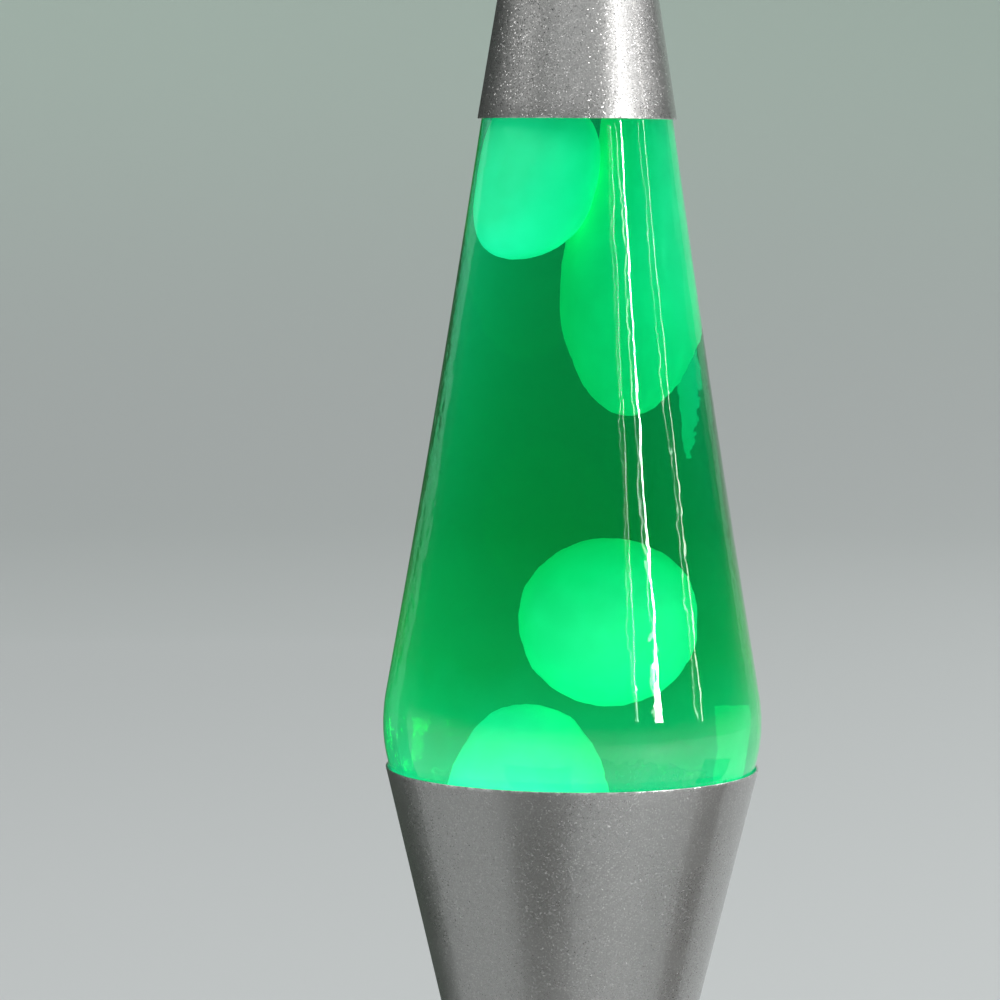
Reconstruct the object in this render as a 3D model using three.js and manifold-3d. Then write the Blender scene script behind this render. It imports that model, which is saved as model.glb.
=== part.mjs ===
// A table lamp with a tapered glass bottle of coloured liquid and molten wax.
// A bulb in the lower half warms the wax, which rises and sinks in the liquid.
//
// Millimetres, +Z up. The origin is the centre of the face that the lamp stands on,
// and the front of the lamp looks along -Y.

import * as THREE from 'three';
import { mergeVertices } from 'three/addons/utils/BufferGeometryUtils.js';
import Module from 'manifold-3d';

const wasm = await Module();
wasm.setup();

// ---------------------------------------------------------------- driving dimensions

// Heights of the three parts that are seen.
const BASE_HEIGHT = 150;
const GLASS_SHOWN = 150;
const CAP_HEIGHT = 68;

// Glass bottle. It is widest just above the base, and tapers up into the cap.
const WIDEST_RADIUS = 44;
const WIDEST_ABOVE_RIM = 10;
const SHOULDER_CURVE = 45;
const HEEL_CURVE = 34;
const RADIUS_AT_CAP = 22.05;
const SIDE_HOLLOW = 0.5;
const GLASS_WALL = 3;
const HEEL_TURN = 55;
const HEEL_EDGE = 8;
const INNER_HEEL_TURN = 50;
const INNER_HEEL_EDGE = 6;
const PUNT_INSET = 5;
const PUNT_HEIGHT = 1.8;
const SIDE_INTO_CAP = 8;
const NECK_SHOULDER_CURVE = 9;
const NECK_SHOULDER_TURN = 70;
const NECK_FILLET = 3;
const NECK_HEIGHT = 15;
const NECK_RING_HEIGHT = 4;
const NECK_RING_PROUD = 0.8;

// Crimped closure on the neck, and the soft liner in it.
const CLOSURE_WALL = 0.5;
const CLOSURE_SKIRT = 5.5;
const LINER_THICKNESS = 1;

// Liquid and wax.
const LIQUID_ABOVE_CAP_RIM = 4;
const WAX_FILM = 1.2;
const COIL_INSET = 3;
const COIL_HALF = 2.6;
const BRIDGE_RADIUS = 1;
const WAX_UPPER_LEFT = {
  radius: 12,
  length: 37,
  overLiquid: 1,
  x: -7,
  y: -5,
  lean: 4.2,
  fullness: 2.6,
};
const WAX_UPPER_RIGHT = {
  bulbRadius: 12.4,
  stalkRadius: 7.6,
  length: 73.5,
  overLiquid: 1,
  x: 9,
  y: 4,
  lean: 2.6,
  widestShare: 0.36,
  pointedness: 1.7,
  stalkStart: 0.45,
  stalkEnd: 0.9,
  topFullness: 2.5,
};
const WAX_FREE = {
  radius: 16.6,
  length: 38.6,
  aboveRim: 14.5,
  x: 6.6,
  y: -6,
  fullness: 2.1,
};
const WAX_MOUND = {
  radius: 16.5,
  aboveRim: 14.8,
  belowFloor: 2,
  x: -8.2,
  y: -9,
  fullness: 2.4,
  spread: 9,
  spreadSharpness: 6,
};

// Spun shells.
const SHELL_WALL = 0.6;
const CAP_EDGE_ROUND = 1.5;
const FLOOR_PLATE = 0.8;
const WAIST_HEIGHT = 60;
const WAIST_RADIUS = 21.8;
const FOOT_RADIUS = 46;
const FOOT_EDGE_HEIGHT = 1;
const HEM_HEIGHT = 3;

// Bulb with a small screw base.
const BULB_LENGTH = 58;
const BULB_RADIUS = 17.5;
const BULB_WALL = 0.8;
const BULB_NECK_RADIUS = 6.8;
const SCREW_CREST_RADIUS = 8.3;
const SCREW_DEPTH = 0.6;
const SCREW_PITCH = 2.82;
const SCREW_TURNS = 5;
const SCREW_SHELL_WALL = 0.4;
const TIP_RADIUS = 3.2;
const TIP_HEIGHT = 1.7;
const INSULATOR_HEIGHT = 4.2;
const STEM_RADIUS = 2;
const STEM_HEIGHT = 16;
const WIRE_RADIUS = 0.4;
const FILAMENT_HALF_SPAN = 8;
const FILAMENT_RADIUS = 0.5;
const FILAMENT_ARCH = 3;

// Lampholder.
const HOLDER_RADIUS = 13.2;
const HOLDER_FLANGE_OVERHANG = 4.3;
const HOLDER_FLANGE = 2;
const HOLDER_COLLAR = 4;
const HOLDER_COLLAR_WALL = 2;
const HOLDER_DEPTH = 27;
const HOLDER_FLOOR = 8;
const HOLDER_SHELL_WALL = 0.6;
const HOLDER_SHELL_HEIGHT = 17;
const CONTACT_STRIP = 0.6;
const CONTACT_RISE = 1.8;
const CONTACT_WIDTH = 5;
const CONTACT_HALF_LENGTH = 8;
const CONTACT_RIDGE = 2.2;
const CONTACT_RAMP_END = 4;
const POCKET_LIP = 1.2;
const POCKET_HEIGHT = 7;
const POCKET_WIDTH = 7;
const POCKET_DEPTH = 3.6;
const TERMINAL_HEAD_RADIUS = 2.4;
const TERMINAL_HEAD = 1.6;
const TERMINAL_SHANK_RADIUS = 1.2;
const TERMINAL_SHANK = 2.2;
const RING_NUT_HEIGHT = 5;

// Tie rod, bottom cover and feet.
const ROD_RADIUS = 3;
const ROD_INTO_HOLDER = 6;
const ROD_END_HEIGHT = 1.6;
const COVER_THICKNESS = 1;
const COVER_RECESS_RADIUS = 13;
const COVER_RECESS_SLOPE = 2;
const COVER_RECESS_DEPTH = 6.7;
const WASHER_RADIUS = 7;
const WASHER_THICKNESS = 1;
const NUT_RADIUS = 5.8;
const NUT_HEIGHT = 4;
const FOOT_PADS = 4;
const PAD_RADIUS = 4.5;
const PAD_HEIGHT = 2;
const PAD_INSET = 7.1;
const VENT_SLOTS = 16;
const VENT_WIDTH = 3;
const VENT_START = 20;
const VENT_LENGTH = 10;

// Cord inlet at the back of the foot.
const INLET_HEIGHT = 20;
const INLET_HOLE_RADIUS = 4.3;
const GROMMET_BORE = 2.4;
const GROMMET_FLANGE_RADIUS = 6.2;
const GROMMET_FLANGE = 1.2;

// Clearances.
const GAP = 0.3;
const CAP_FIT = 0.35;
const GROMMET_GROOVE_FIT = 0.8;

// Roundness of the turned pieces.
const LARGE_SIDES = 36;
const MEDIUM_SIDES = 24;
const SMALL_SIDES = 16;
const WIRE_SIDES = 6;

// ---------------------------------------------------------------- derived heights and radii

const radians = (degrees) => degrees * Math.PI / 180;

const rimHeight = BASE_HEIGHT;
const capRimHeight = rimHeight + GLASS_SHOWN;
const topHeight = capRimHeight + CAP_HEIGHT;
const widestHeight = rimHeight + WIDEST_ABOVE_RIM;
const shoulderCentre = WIDEST_RADIUS - SHOULDER_CURVE;
const heelCentre = WIDEST_RADIUS - HEEL_CURVE;

// The long side is a straight line from the cap's rim, tangent to the shoulder's curve.
const toCapRim = {
  r: RADIUS_AT_CAP - shoulderCentre,
  z: capRimHeight - widestHeight,
};
const taperAngle = Math.atan2(toCapRim.z, toCapRim.r)
  - Math.acos(SHOULDER_CURVE / Math.hypot(toCapRim.r, toCapRim.z));
const taper = Math.tan(taperAngle);
const sideStart = {
  r: shoulderCentre + SHOULDER_CURVE * Math.cos(taperAngle),
  z: widestHeight + SHOULDER_CURVE * Math.sin(taperAngle),
};
const sideEndHeight = capRimHeight + SIDE_INTO_CAP;

// Outer radius of the bottle on its long side, which is hollow by a hair below the cap.
function sideRadius(z) {
  const share = Math.min(1, (z - sideStart.z) / (capRimHeight - sideStart.z));
  const straight = sideStart.r - taper * (z - sideStart.z);
  return straight - SIDE_HOLLOW * 4 * share * (1 - share);
}

const rimBottleRadius = heelCentre + Math.sqrt(HEEL_CURVE ** 2 - WIDEST_ABOVE_RIM ** 2);
const rimRadius = rimBottleRadius + GAP + SHELL_WALL;
const capRimRadius = RADIUS_AT_CAP + CAP_FIT + SHELL_WALL;
const capTopRadius = capRimRadius - taper * CAP_HEIGHT;

const neckStart = { r: sideRadius(sideEndHeight), z: sideEndHeight };
const neckCurveCentre = {
  r: neckStart.r - NECK_SHOULDER_CURVE * Math.cos(taperAngle),
  z: neckStart.z - NECK_SHOULDER_CURVE * Math.sin(taperAngle),
};
const neckTurn = radians(NECK_SHOULDER_TURN);
const neckFilletCentre = {
  r: neckCurveCentre.r + (NECK_SHOULDER_CURVE + NECK_FILLET) * Math.cos(neckTurn),
  z: neckCurveCentre.z + (NECK_SHOULDER_CURVE + NECK_FILLET) * Math.sin(neckTurn),
};
const neckRadius = neckFilletCentre.r - NECK_FILLET;
const neckBore = neckRadius - GLASS_WALL;
const neckTop = neckFilletCentre.z + NECK_HEIGHT;
const neckRingRadius = neckRadius + NECK_RING_PROUD;

const innerHeelTurn = radians(INNER_HEEL_TURN);
const innerHeelReach = HEEL_CURVE - GLASS_WALL - INNER_HEEL_EDGE;
const innerEdgeCentre = {
  r: heelCentre + innerHeelReach * Math.cos(innerHeelTurn),
  z: widestHeight - innerHeelReach * Math.sin(innerHeelTurn),
};
const bottleFloor = innerEdgeCentre.z - INNER_HEEL_EDGE;
const liquidBottom = bottleFloor + GAP;
const liquidLevel = capRimHeight + LIQUID_ABOVE_CAP_RIM;
const coilRadius = innerEdgeCentre.r - COIL_INSET;
const coilHeight = liquidBottom + COIL_HALF;

const holeInPlates = HOLDER_RADIUS + GAP;
const holderFlangeRadius = HOLDER_RADIUS + HOLDER_FLANGE_OVERHANG;
const cupFloor = WAIST_HEIGHT + GAP / 2;
const cupFloorTop = cupFloor + FLOOR_PLATE;
const footPlateTop = WAIST_HEIGHT - GAP / 2;
const footPlateUnder = footPlateTop - FLOOR_PLATE;

const holderFlangeUnder = cupFloorTop + GAP;
const holderFlangeTop = holderFlangeUnder + HOLDER_FLANGE;
const holderTop = holderFlangeTop + HOLDER_COLLAR;
const holderBottom = holderFlangeUnder - HOLDER_DEPTH;
const holderFloorTop = holderBottom + HOLDER_FLOOR;
const screwRootRadius = SCREW_CREST_RADIUS - SCREW_DEPTH;
const holderShellBore = SCREW_CREST_RADIUS + GAP;
const holderShellRadius = holderShellBore + HOLDER_SHELL_WALL;
const holderBore = holderShellRadius + GAP;
const contactTop = holderFloorTop + GAP + CONTACT_STRIP + CONTACT_RISE;

const bulbBottom = contactTop + GAP;
const bulbTop = bulbBottom + BULB_LENGTH;
const insulatorBottom = bulbBottom + TIP_HEIGHT + GAP;
const insulatorTop = insulatorBottom + INSULATOR_HEIGHT;
const screwShellBottom = insulatorTop - INSULATOR_HEIGHT / 2;
const screwShellTop = screwShellBottom + SCREW_PITCH * SCREW_TURNS;
const screwShellBore = screwRootRadius - SCREW_SHELL_WALL;
const bulbCentre = bulbTop - BULB_RADIUS;
const stemBottom = insulatorTop + GAP;
const stemTop = stemBottom + STEM_HEIGHT;

const coverUnder = PAD_HEIGHT + GAP;
const coverTop = coverUnder + COVER_THICKNESS;
const coverRecess = coverUnder + COVER_RECESS_DEPTH;
const coverRadius = FOOT_RADIUS - SHELL_WALL - GAP;
const padCircle = coverRadius - PAD_INSET;
const rodHole = ROD_RADIUS + GAP;
const rodTop = holderBottom + ROD_INTO_HOLDER;
const washerUnder = coverRecess - GAP - WASHER_THICKNESS;
const nutTop = washerUnder - GAP;

const hemTop = FOOT_EDGE_HEIGHT + HEM_HEIGHT;
const skirtSlope = (FOOT_RADIUS - WAIST_RADIUS) / (footPlateTop - hemTop);
const skirtAngle = Math.atan(skirtSlope);
const inletRadius = FOOT_RADIUS - skirtSlope * (INLET_HEIGHT - hemTop);

// ---------------------------------------------------------------- geometry helpers

// Points on an arc, angles in radians from the radial direction towards +Z.
function arc(centreR, centreZ, radius, from, to, steps) {
  const points = [];
  for (let i = 0; i <= steps; i += 1) {
    const angle = from + (to - from) * i / steps;
    points.push([centreR + radius * Math.cos(angle), centreZ + radius * Math.sin(angle)]);
  }
  return points;
}

// Keeps one vertex for each place, drops empty triangles and turns the faces outwards.
function tidySolid(geometry) {
  const bare = geometry.index ? geometry.toNonIndexed() : geometry.clone();
  bare.deleteAttribute('normal');
  bare.deleteAttribute('uv');
  const merged = mergeVertices(bare, 1e-4);
  const position = merged.attributes.position;
  const a = new THREE.Vector3();
  const b = new THREE.Vector3();
  const c = new THREE.Vector3();
  const kept = [];
  let volume = 0;
  for (let i = 0; i < merged.index.count; i += 3) {
    const [p, q, r] = [0, 1, 2].map((k) => merged.index.getX(i + k));
    if (p !== q && q !== r && r !== p) {
      kept.push([p, q, r]);
      a.fromBufferAttribute(position, p);
      b.fromBufferAttribute(position, q);
      c.fromBufferAttribute(position, r);
      volume += a.dot(b.cross(c));
    }
  }
  const outward = volume < 0 ? kept.map(([p, q, r]) => [p, r, q]) : kept;
  merged.setIndex(outward.flat());
  return merged;
}

// Moves every vertex out along its normal.
function swell(geometry, distance) {
  geometry.computeVertexNormals();
  const { position, normal } = geometry.attributes;
  for (let i = 0; i < position.count; i += 1) {
    position.setXYZ(
      i,
      position.getX(i) + distance * normal.getX(i),
      position.getY(i) + distance * normal.getY(i),
      position.getZ(i) + distance * normal.getZ(i),
    );
  }
  geometry.deleteAttribute('normal');
  return geometry;
}

// A closed outline of [radius, height] points, turned about the Z axis.
function turned(outline, sides) {
  const points = outline.map(([r, z]) => new THREE.Vector2(Math.max(r, 0), z));
  const first = points[0];
  const last = points[points.length - 1];
  if (first.x > 0 || last.x > 0) {
    points.push(first.clone());
  }
  const geometry = new THREE.LatheGeometry(points, sides);
  geometry.rotateX(Math.PI / 2);
  return tidySolid(geometry);
}

function toManifold(geometry) {
  const mesh = new wasm.Mesh({
    numProp: 3,
    vertProperties: new Float32Array(geometry.attributes.position.array),
    triVerts: new Uint32Array(geometry.index.array),
  });
  return new wasm.Manifold(mesh);
}

function fromManifold(manifold) {
  const mesh = manifold.getMesh();
  const geometry = new THREE.BufferGeometry();
  geometry.setAttribute('position', new THREE.BufferAttribute(mesh.vertProperties, 3));
  geometry.setIndex(new THREE.BufferAttribute(mesh.triVerts, 1));
  return geometry;
}

function cut(geometry, tools) {
  let body = toManifold(geometry);
  for (const tool of tools) {
    body = body.subtract(toManifold(tool));
  }
  return fromManifold(body);
}

function keepInside(geometry, limit) {
  return fromManifold(toManifold(geometry).intersect(toManifold(limit)));
}

// A round wire along a curve.
function wire(points, radius, steps) {
  const outline = new THREE.Shape();
  for (let i = 0; i < WIRE_SIDES; i += 1) {
    const angle = 2 * Math.PI * i / WIRE_SIDES;
    const place = [radius * Math.cos(angle), radius * Math.sin(angle)];
    if (i === 0) {
      outline.moveTo(...place);
    } else {
      outline.lineTo(...place);
    }
  }
  const path = new THREE.CatmullRomCurve3(points.map((p) => new THREE.Vector3(...p)));
  return tidySolid(new THREE.ExtrudeGeometry(outline, { steps, extrudePath: path }));
}

// A rod from one point to another.
function rodBetween(start, end, radius, sides) {
  const from = new THREE.Vector3(...start);
  const along = new THREE.Vector3(...end).sub(from);
  const geometry = new THREE.CylinderGeometry(radius, radius, along.length(), sides);
  const up = new THREE.Vector3(0, 1, 0);
  const turn = new THREE.Quaternion().setFromUnitVectors(up, along.clone().normalize());
  geometry.applyQuaternion(turn);
  geometry.translate(...from.addScaledVector(along, 0.5).toArray());
  return tidySolid(geometry);
}

// ---------------------------------------------------------------- materials

const finishes = {
  silverPaint: { color: 0x9a9894, roughness: 0.38, metalness: 0.85 },
  steel: { color: 0x9c9c9a, roughness: 0.35, metalness: 1 },
  brass: { color: 0xb08d4a, roughness: 0.35, metalness: 1 },
  thinGlass: { color: 0xe6efe8, roughness: 0.03, metalness: 0 },
  greenLiquid: { color: 0x008a45, roughness: 0.05, metalness: 0 },
  greenWax: { color: 0x06e892, roughness: 0.45, metalness: 0 },
  blackPlastic: { color: 0x1c1c1c, roughness: 0.55, metalness: 0 },
  rubber: { color: 0x232323, roughness: 0.8, metalness: 0 },
  whiteLiner: { color: 0xe2e0da, roughness: 0.6, metalness: 0 },
};

function finish(name) {
  return new THREE.MeshStandardMaterial(finishes[name]);
}

const group = new THREE.Group();

function add(name, geometry, finishName, parent = group) {
  const mesh = new THREE.Mesh(geometry, finish(finishName));
  mesh.name = name;
  parent.add(mesh);
  return mesh;
}

// ---------------------------------------------------------------- cap

{
  const innerTopRadius = capTopRadius - SHELL_WALL;
  const topPlateUnder = topHeight - FLOOR_PLATE;
  const roundCentre = capTopRadius - CAP_EDGE_ROUND;
  const outline = [
    [capRimRadius - SHELL_WALL, capRimHeight],
    [capRimRadius, capRimHeight],
    ...arc(roundCentre, topHeight - CAP_EDGE_ROUND, CAP_EDGE_ROUND, taperAngle, Math.PI / 2, 4),
    [0, topHeight],
    [0, topPlateUnder],
    [innerTopRadius, topPlateUnder],
  ];
  add('cap_shell', turned(outline, LARGE_SIDES), 'silverPaint');
}

// ---------------------------------------------------------------- glass bottle

// Inner side of the bottle, from its middle at the floor up to a height on the long side.
// The inset moves the outline in from the glass.
function innerWall(inset, bottom, level) {
  const offset = GLASS_WALL + inset;
  const edge = INNER_HEEL_EDGE - inset;
  const startAngle = -Math.PI / 2;
  const outline = [
    [0, bottom],
    ...arc(innerEdgeCentre.r, innerEdgeCentre.z, edge, startAngle, -innerHeelTurn, 2),
    ...arc(heelCentre, widestHeight, HEEL_CURVE - offset, -innerHeelTurn, 0, 4).slice(1),
    ...arc(shoulderCentre, widestHeight, SHOULDER_CURVE - offset, 0, taperAngle, 1).slice(1),
  ];
  const sideOffset = offset / Math.cos(taperAngle);
  const steps = 3;
  for (let i = 1; i <= steps; i += 1) {
    const z = sideStart.z + (level - sideStart.z) * i / steps;
    outline.push([sideRadius(z) - sideOffset, z]);
  }
  return outline;
}

const innerNeck = [
  ...arc(neckCurveCentre.r, neckCurveCentre.z, NECK_SHOULDER_CURVE - GLASS_WALL,
    taperAngle, neckTurn, 3),
  ...arc(neckFilletCentre.r, neckFilletCentre.z, NECK_FILLET + GLASS_WALL,
    neckTurn + Math.PI, Math.PI, 3).slice(1),
  [neckBore, neckTop],
];

{
  const heelTurn = radians(HEEL_TURN);
  const heelReach = HEEL_CURVE - HEEL_EDGE;
  const edgeCentre = {
    r: heelCentre + heelReach * Math.cos(heelTurn),
    z: widestHeight - heelReach * Math.sin(heelTurn),
  };
  const under = edgeCentre.z - HEEL_EDGE;
  const outerSide = [];
  const steps = 3;
  for (let i = 0; i <= steps; i += 1) {
    const z = sideStart.z + (sideEndHeight - sideStart.z) * i / steps;
    outerSide.push([sideRadius(z), z]);
  }
  const ringUnder = neckTop - NECK_RING_HEIGHT;
  const puntRadius = edgeCentre.r - PUNT_INSET;
  const outer = [
    [0, under + PUNT_HEIGHT],
    [puntRadius * 0.6, under + PUNT_HEIGHT * 0.75],
    [puntRadius, under],
    ...arc(edgeCentre.r, edgeCentre.z, HEEL_EDGE, -Math.PI / 2, -heelTurn, 3),
    ...arc(heelCentre, widestHeight, HEEL_CURVE, -heelTurn, 0, 5).slice(1),
    ...arc(shoulderCentre, widestHeight, SHOULDER_CURVE, 0, taperAngle, 2).slice(1, -1),
    ...outerSide,
    ...arc(neckCurveCentre.r, neckCurveCentre.z, NECK_SHOULDER_CURVE, taperAngle, neckTurn, 3)
      .slice(1),
    ...arc(neckFilletCentre.r, neckFilletCentre.z, NECK_FILLET, neckTurn + Math.PI, Math.PI, 2)
      .slice(1),
    [neckRadius, ringUnder - NECK_RING_PROUD],
    [neckRingRadius, ringUnder],
    [neckRingRadius, neckTop - NECK_RING_PROUD],
    [neckRadius, neckTop],
  ];
  const innerSideTop = neckCurveCentre.z
    + (NECK_SHOULDER_CURVE - GLASS_WALL) * Math.sin(taperAngle);
  const inner = [
    ...innerWall(0, bottleFloor, innerSideTop).slice(0, -1),
    ...innerNeck,
  ];
  add('glass_bottle', turned([...outer, ...inner.reverse()], LARGE_SIDES), 'thinGlass');
}

// ---------------------------------------------------------------- closure and liner

{
  const linerUnder = neckTop + GAP;
  const linerTop = linerUnder + LINER_THICKNESS;
  const plateUnder = linerTop + GAP;
  const plateTop = plateUnder + CLOSURE_WALL;
  const bore = neckRingRadius + GAP;
  const radius = bore + CLOSURE_WALL;
  const skirtEnd = plateTop - CLOSURE_SKIRT;
  const closure = [
    [bore, skirtEnd],
    [radius + CLOSURE_WALL, skirtEnd],
    [radius, plateTop - CLOSURE_WALL],
    [radius - CLOSURE_WALL, plateTop],
    [0, plateTop],
    [0, plateUnder],
    [bore, plateUnder],
  ];
  const liner = [
    [0, linerUnder],
    [neckRadius, linerUnder],
    [neckRadius, linerTop],
    [0, linerTop],
  ];
  add('bottle_closure', turned(closure, MEDIUM_SIDES), 'steel');
  add('closure_liner', turned(liner, MEDIUM_SIDES), 'whiteLiner');
}

// ---------------------------------------------------------------- wax

// A body of wax: a round column that follows a leaning line from bottom to top.
// radiusAt and leanAt take the share of the height, 0 at the bottom and 1 at the top.
function waxBody(shape, grow) {
  const rings = 12;
  const sides = 20;
  const positions = [];
  const index = [];
  const height = shape.top - shape.bottom;
  const placeAt = (share) => {
    const z = shape.bottom + height * share;
    const [leanX, leanY] = shape.leanAt(share);
    return [shape.x + leanX, shape.y + leanY, z];
  };
  positions.push(...placeAt(0));
  for (let i = 1; i < rings; i += 1) {
    const share = (1 - Math.cos(Math.PI * i / rings)) / 2;
    const [x, y, z] = placeAt(share);
    const radius = shape.radiusAt(share);
    for (let k = 0; k < sides; k += 1) {
      const angle = 2 * Math.PI * k / sides;
      positions.push(x + radius * Math.cos(angle), y + radius * Math.sin(angle), z);
    }
  }
  const last = positions.length / 3;
  positions.push(...placeAt(1));
  for (let k = 0; k < sides; k += 1) {
    const next = (k + 1) % sides;
    index.push(0, 1 + next, 1 + k);
    for (let i = 0; i < rings - 2; i += 1) {
      const low = 1 + i * sides;
      const high = low + sides;
      index.push(low + k, low + next, high + next);
      index.push(low + k, high + next, high + k);
    }
    const rim = last - sides;
    index.push(rim + k, rim + next, last);
  }
  const geometry = new THREE.BufferGeometry();
  geometry.setAttribute('position', new THREE.Float32BufferAttribute(positions, 3));
  geometry.setIndex(index);
  return swell(tidySolid(geometry), grow);
}

// Roundness of an egg: 2 is an ellipse, more is fuller.
function eggRadius(share, radius, fullness) {
  const fromMiddle = Math.abs(2 * share - 1);
  return radius * (1 - fromMiddle ** fullness) ** (1 / 2);
}

// A drop that hangs from the surface: a pointed egg below, and a narrower stalk above it.
function hangingRadius(share, drop) {
  if (share < drop.widestShare) {
    const below = (drop.widestShare - share) / drop.widestShare;
    return drop.bulbRadius * Math.sqrt(Math.max(0, 1 - below ** drop.pointedness));
  }
  const toStalk = THREE.MathUtils.smoothstep(share, drop.stalkStart, drop.stalkEnd);
  const radius = drop.bulbRadius - (drop.bulbRadius - drop.stalkRadius) * toStalk;
  const nearTop = Math.max(0, share - drop.stalkEnd) / (1 - drop.stalkEnd);
  return radius * Math.sqrt(Math.max(0, 1 - nearTop ** drop.topFullness));
}

const waxShapes = {
  wax_upper_left: {
    x: WAX_UPPER_LEFT.x,
    y: WAX_UPPER_LEFT.y,
    bottom: liquidLevel - WAX_UPPER_LEFT.length,
    top: liquidLevel + WAX_UPPER_LEFT.overLiquid,
    leanAt: (share) => [-WAX_UPPER_LEFT.lean * (1 - share) ** 2, 0],
    radiusAt: (share) => eggRadius(share, WAX_UPPER_LEFT.radius, WAX_UPPER_LEFT.fullness),
  },
  wax_upper_right: {
    x: WAX_UPPER_RIGHT.x,
    y: WAX_UPPER_RIGHT.y,
    bottom: liquidLevel - WAX_UPPER_RIGHT.length,
    top: liquidLevel + WAX_UPPER_RIGHT.overLiquid,
    leanAt: (share) => [WAX_UPPER_RIGHT.lean * share, 0],
    radiusAt: (share) => hangingRadius(share, WAX_UPPER_RIGHT),
  },
  wax_free_blob: {
    x: WAX_FREE.x,
    y: WAX_FREE.y,
    bottom: rimHeight + WAX_FREE.aboveRim,
    top: rimHeight + WAX_FREE.aboveRim + WAX_FREE.length,
    leanAt: () => [0, 0],
    radiusAt: (share) => eggRadius(share, WAX_FREE.radius, WAX_FREE.fullness),
  },
  wax_mound: {
    x: WAX_MOUND.x,
    y: WAX_MOUND.y,
    bottom: bottleFloor - WAX_MOUND.belowFloor,
    top: rimHeight + WAX_MOUND.aboveRim,
    leanAt: () => [0, 0],
    radiusAt: (share) => {
      const dome = WAX_MOUND.radius * (1 - share ** WAX_MOUND.fullness) ** (1 / 2);
      return dome + WAX_MOUND.spread * (1 - share) ** WAX_MOUND.spreadSharpness;
    },
  },
};

function coilRing(grow) {
  const ring = new THREE.TorusGeometry(coilRadius, COIL_HALF + grow, 8, LARGE_SIDES);
  ring.translate(0, 0, coilHeight);
  return tidySolid(ring);
}

const roomForWax = turned(
  [...innerWall(WAX_FILM, liquidBottom, liquidLevel + 2), [0, liquidLevel + 2]],
  LARGE_SIDES,
);

const waxSolids = {};
for (const [name, shape] of Object.entries(waxShapes)) {
  const others = Object.keys(waxSolids).map((other) => waxBody(waxShapes[other], GAP));
  const coil = name === 'wax_mound' ? [coilRing(GAP)] : [];
  waxSolids[name] = cut(keepInside(waxBody(shape, 0), roomForWax), [...others, ...coil]);
  add(name, waxSolids[name], 'greenWax');
}

add('wax_coil', coilRing(0), 'steel');

// The liquid fills the bottle round the wax. A narrow bridge joins the hollow that holds
// the free blob to the hollow of the mound, so that neither hollow is sealed.
{
  const full = turned(
    [...innerWall(GAP, liquidBottom, liquidLevel), [0, liquidLevel]],
    LARGE_SIDES,
  );
  const mound = waxShapes.wax_mound;
  const free = waxShapes.wax_free_blob;
  const freeCentre = [free.x, free.y, (free.bottom + free.top) / 2];
  const bridge = rodBetween([mound.x, mound.y, rimHeight], freeCentre, BRIDGE_RADIUS, 8);
  const hollows = Object.values(waxShapes).map((shape) => waxBody(shape, GAP));
  add('liquid_fill', cut(full, [...hollows, coilRing(GAP), bridge]), 'greenLiquid');
}

// ---------------------------------------------------------------- base shells

{
  const innerWaist = WAIST_RADIUS - SHELL_WALL;
  const outline = [
    [holeInPlates, cupFloor],
    [WAIST_RADIUS, cupFloor],
    [rimRadius, rimHeight],
    [rimRadius - SHELL_WALL, rimHeight],
    [innerWaist, cupFloorTop],
    [holeInPlates, cupFloorTop],
  ];
  add('base_cup', turned(outline, LARGE_SIDES), 'silverPaint');
}

// Frame at the cord inlet: its own +Z leaves the skirt square to the wall.
function placeAtInlet(object) {
  const normal = new THREE.Vector3(0, Math.cos(skirtAngle), Math.sin(skirtAngle));
  const up = new THREE.Vector3(0, 0, 1);
  const middle = inletRadius - SHELL_WALL / 2;
  object.applyQuaternion(new THREE.Quaternion().setFromUnitVectors(up, normal));
  object.translate(0, middle, INLET_HEIGHT);
  return object;
}

{
  const innerWaist = WAIST_RADIUS - SHELL_WALL;
  const outline = [
    [FOOT_RADIUS - SHELL_WALL, FOOT_EDGE_HEIGHT],
    [FOOT_RADIUS, FOOT_EDGE_HEIGHT],
    [FOOT_RADIUS, hemTop],
    [WAIST_RADIUS, footPlateTop],
    [holeInPlates, footPlateTop],
    [holeInPlates, footPlateUnder],
    [innerWaist, footPlateUnder],
    [FOOT_RADIUS - SHELL_WALL, hemTop],
  ];
  const drill = new THREE.CylinderGeometry(INLET_HOLE_RADIUS, INLET_HOLE_RADIUS, 8, SMALL_SIDES);
  drill.rotateX(Math.PI / 2);
  const hole = placeAtInlet(tidySolid(drill));
  add('base_foot', cut(turned(outline, LARGE_SIDES), [hole]), 'silverPaint');
}

{
  const grooveHalf = SHELL_WALL / 2 + GROMMET_GROOVE_FIT;
  const faceHalf = grooveHalf + GROMMET_FLANGE;
  const grooveRadius = INLET_HOLE_RADIUS - GAP;
  const outline = [
    [GROMMET_BORE, -faceHalf],
    [GROMMET_FLANGE_RADIUS, -faceHalf],
    [GROMMET_FLANGE_RADIUS, -grooveHalf],
    [grooveRadius, -grooveHalf],
    [grooveRadius, grooveHalf],
    [GROMMET_FLANGE_RADIUS, grooveHalf],
    [GROMMET_FLANGE_RADIUS, faceHalf],
    [GROMMET_BORE, faceHalf],
  ];
  add('cord_grommet', placeAtInlet(turned(outline, SMALL_SIDES)), 'rubber');
}

// ---------------------------------------------------------------- bulb

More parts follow.
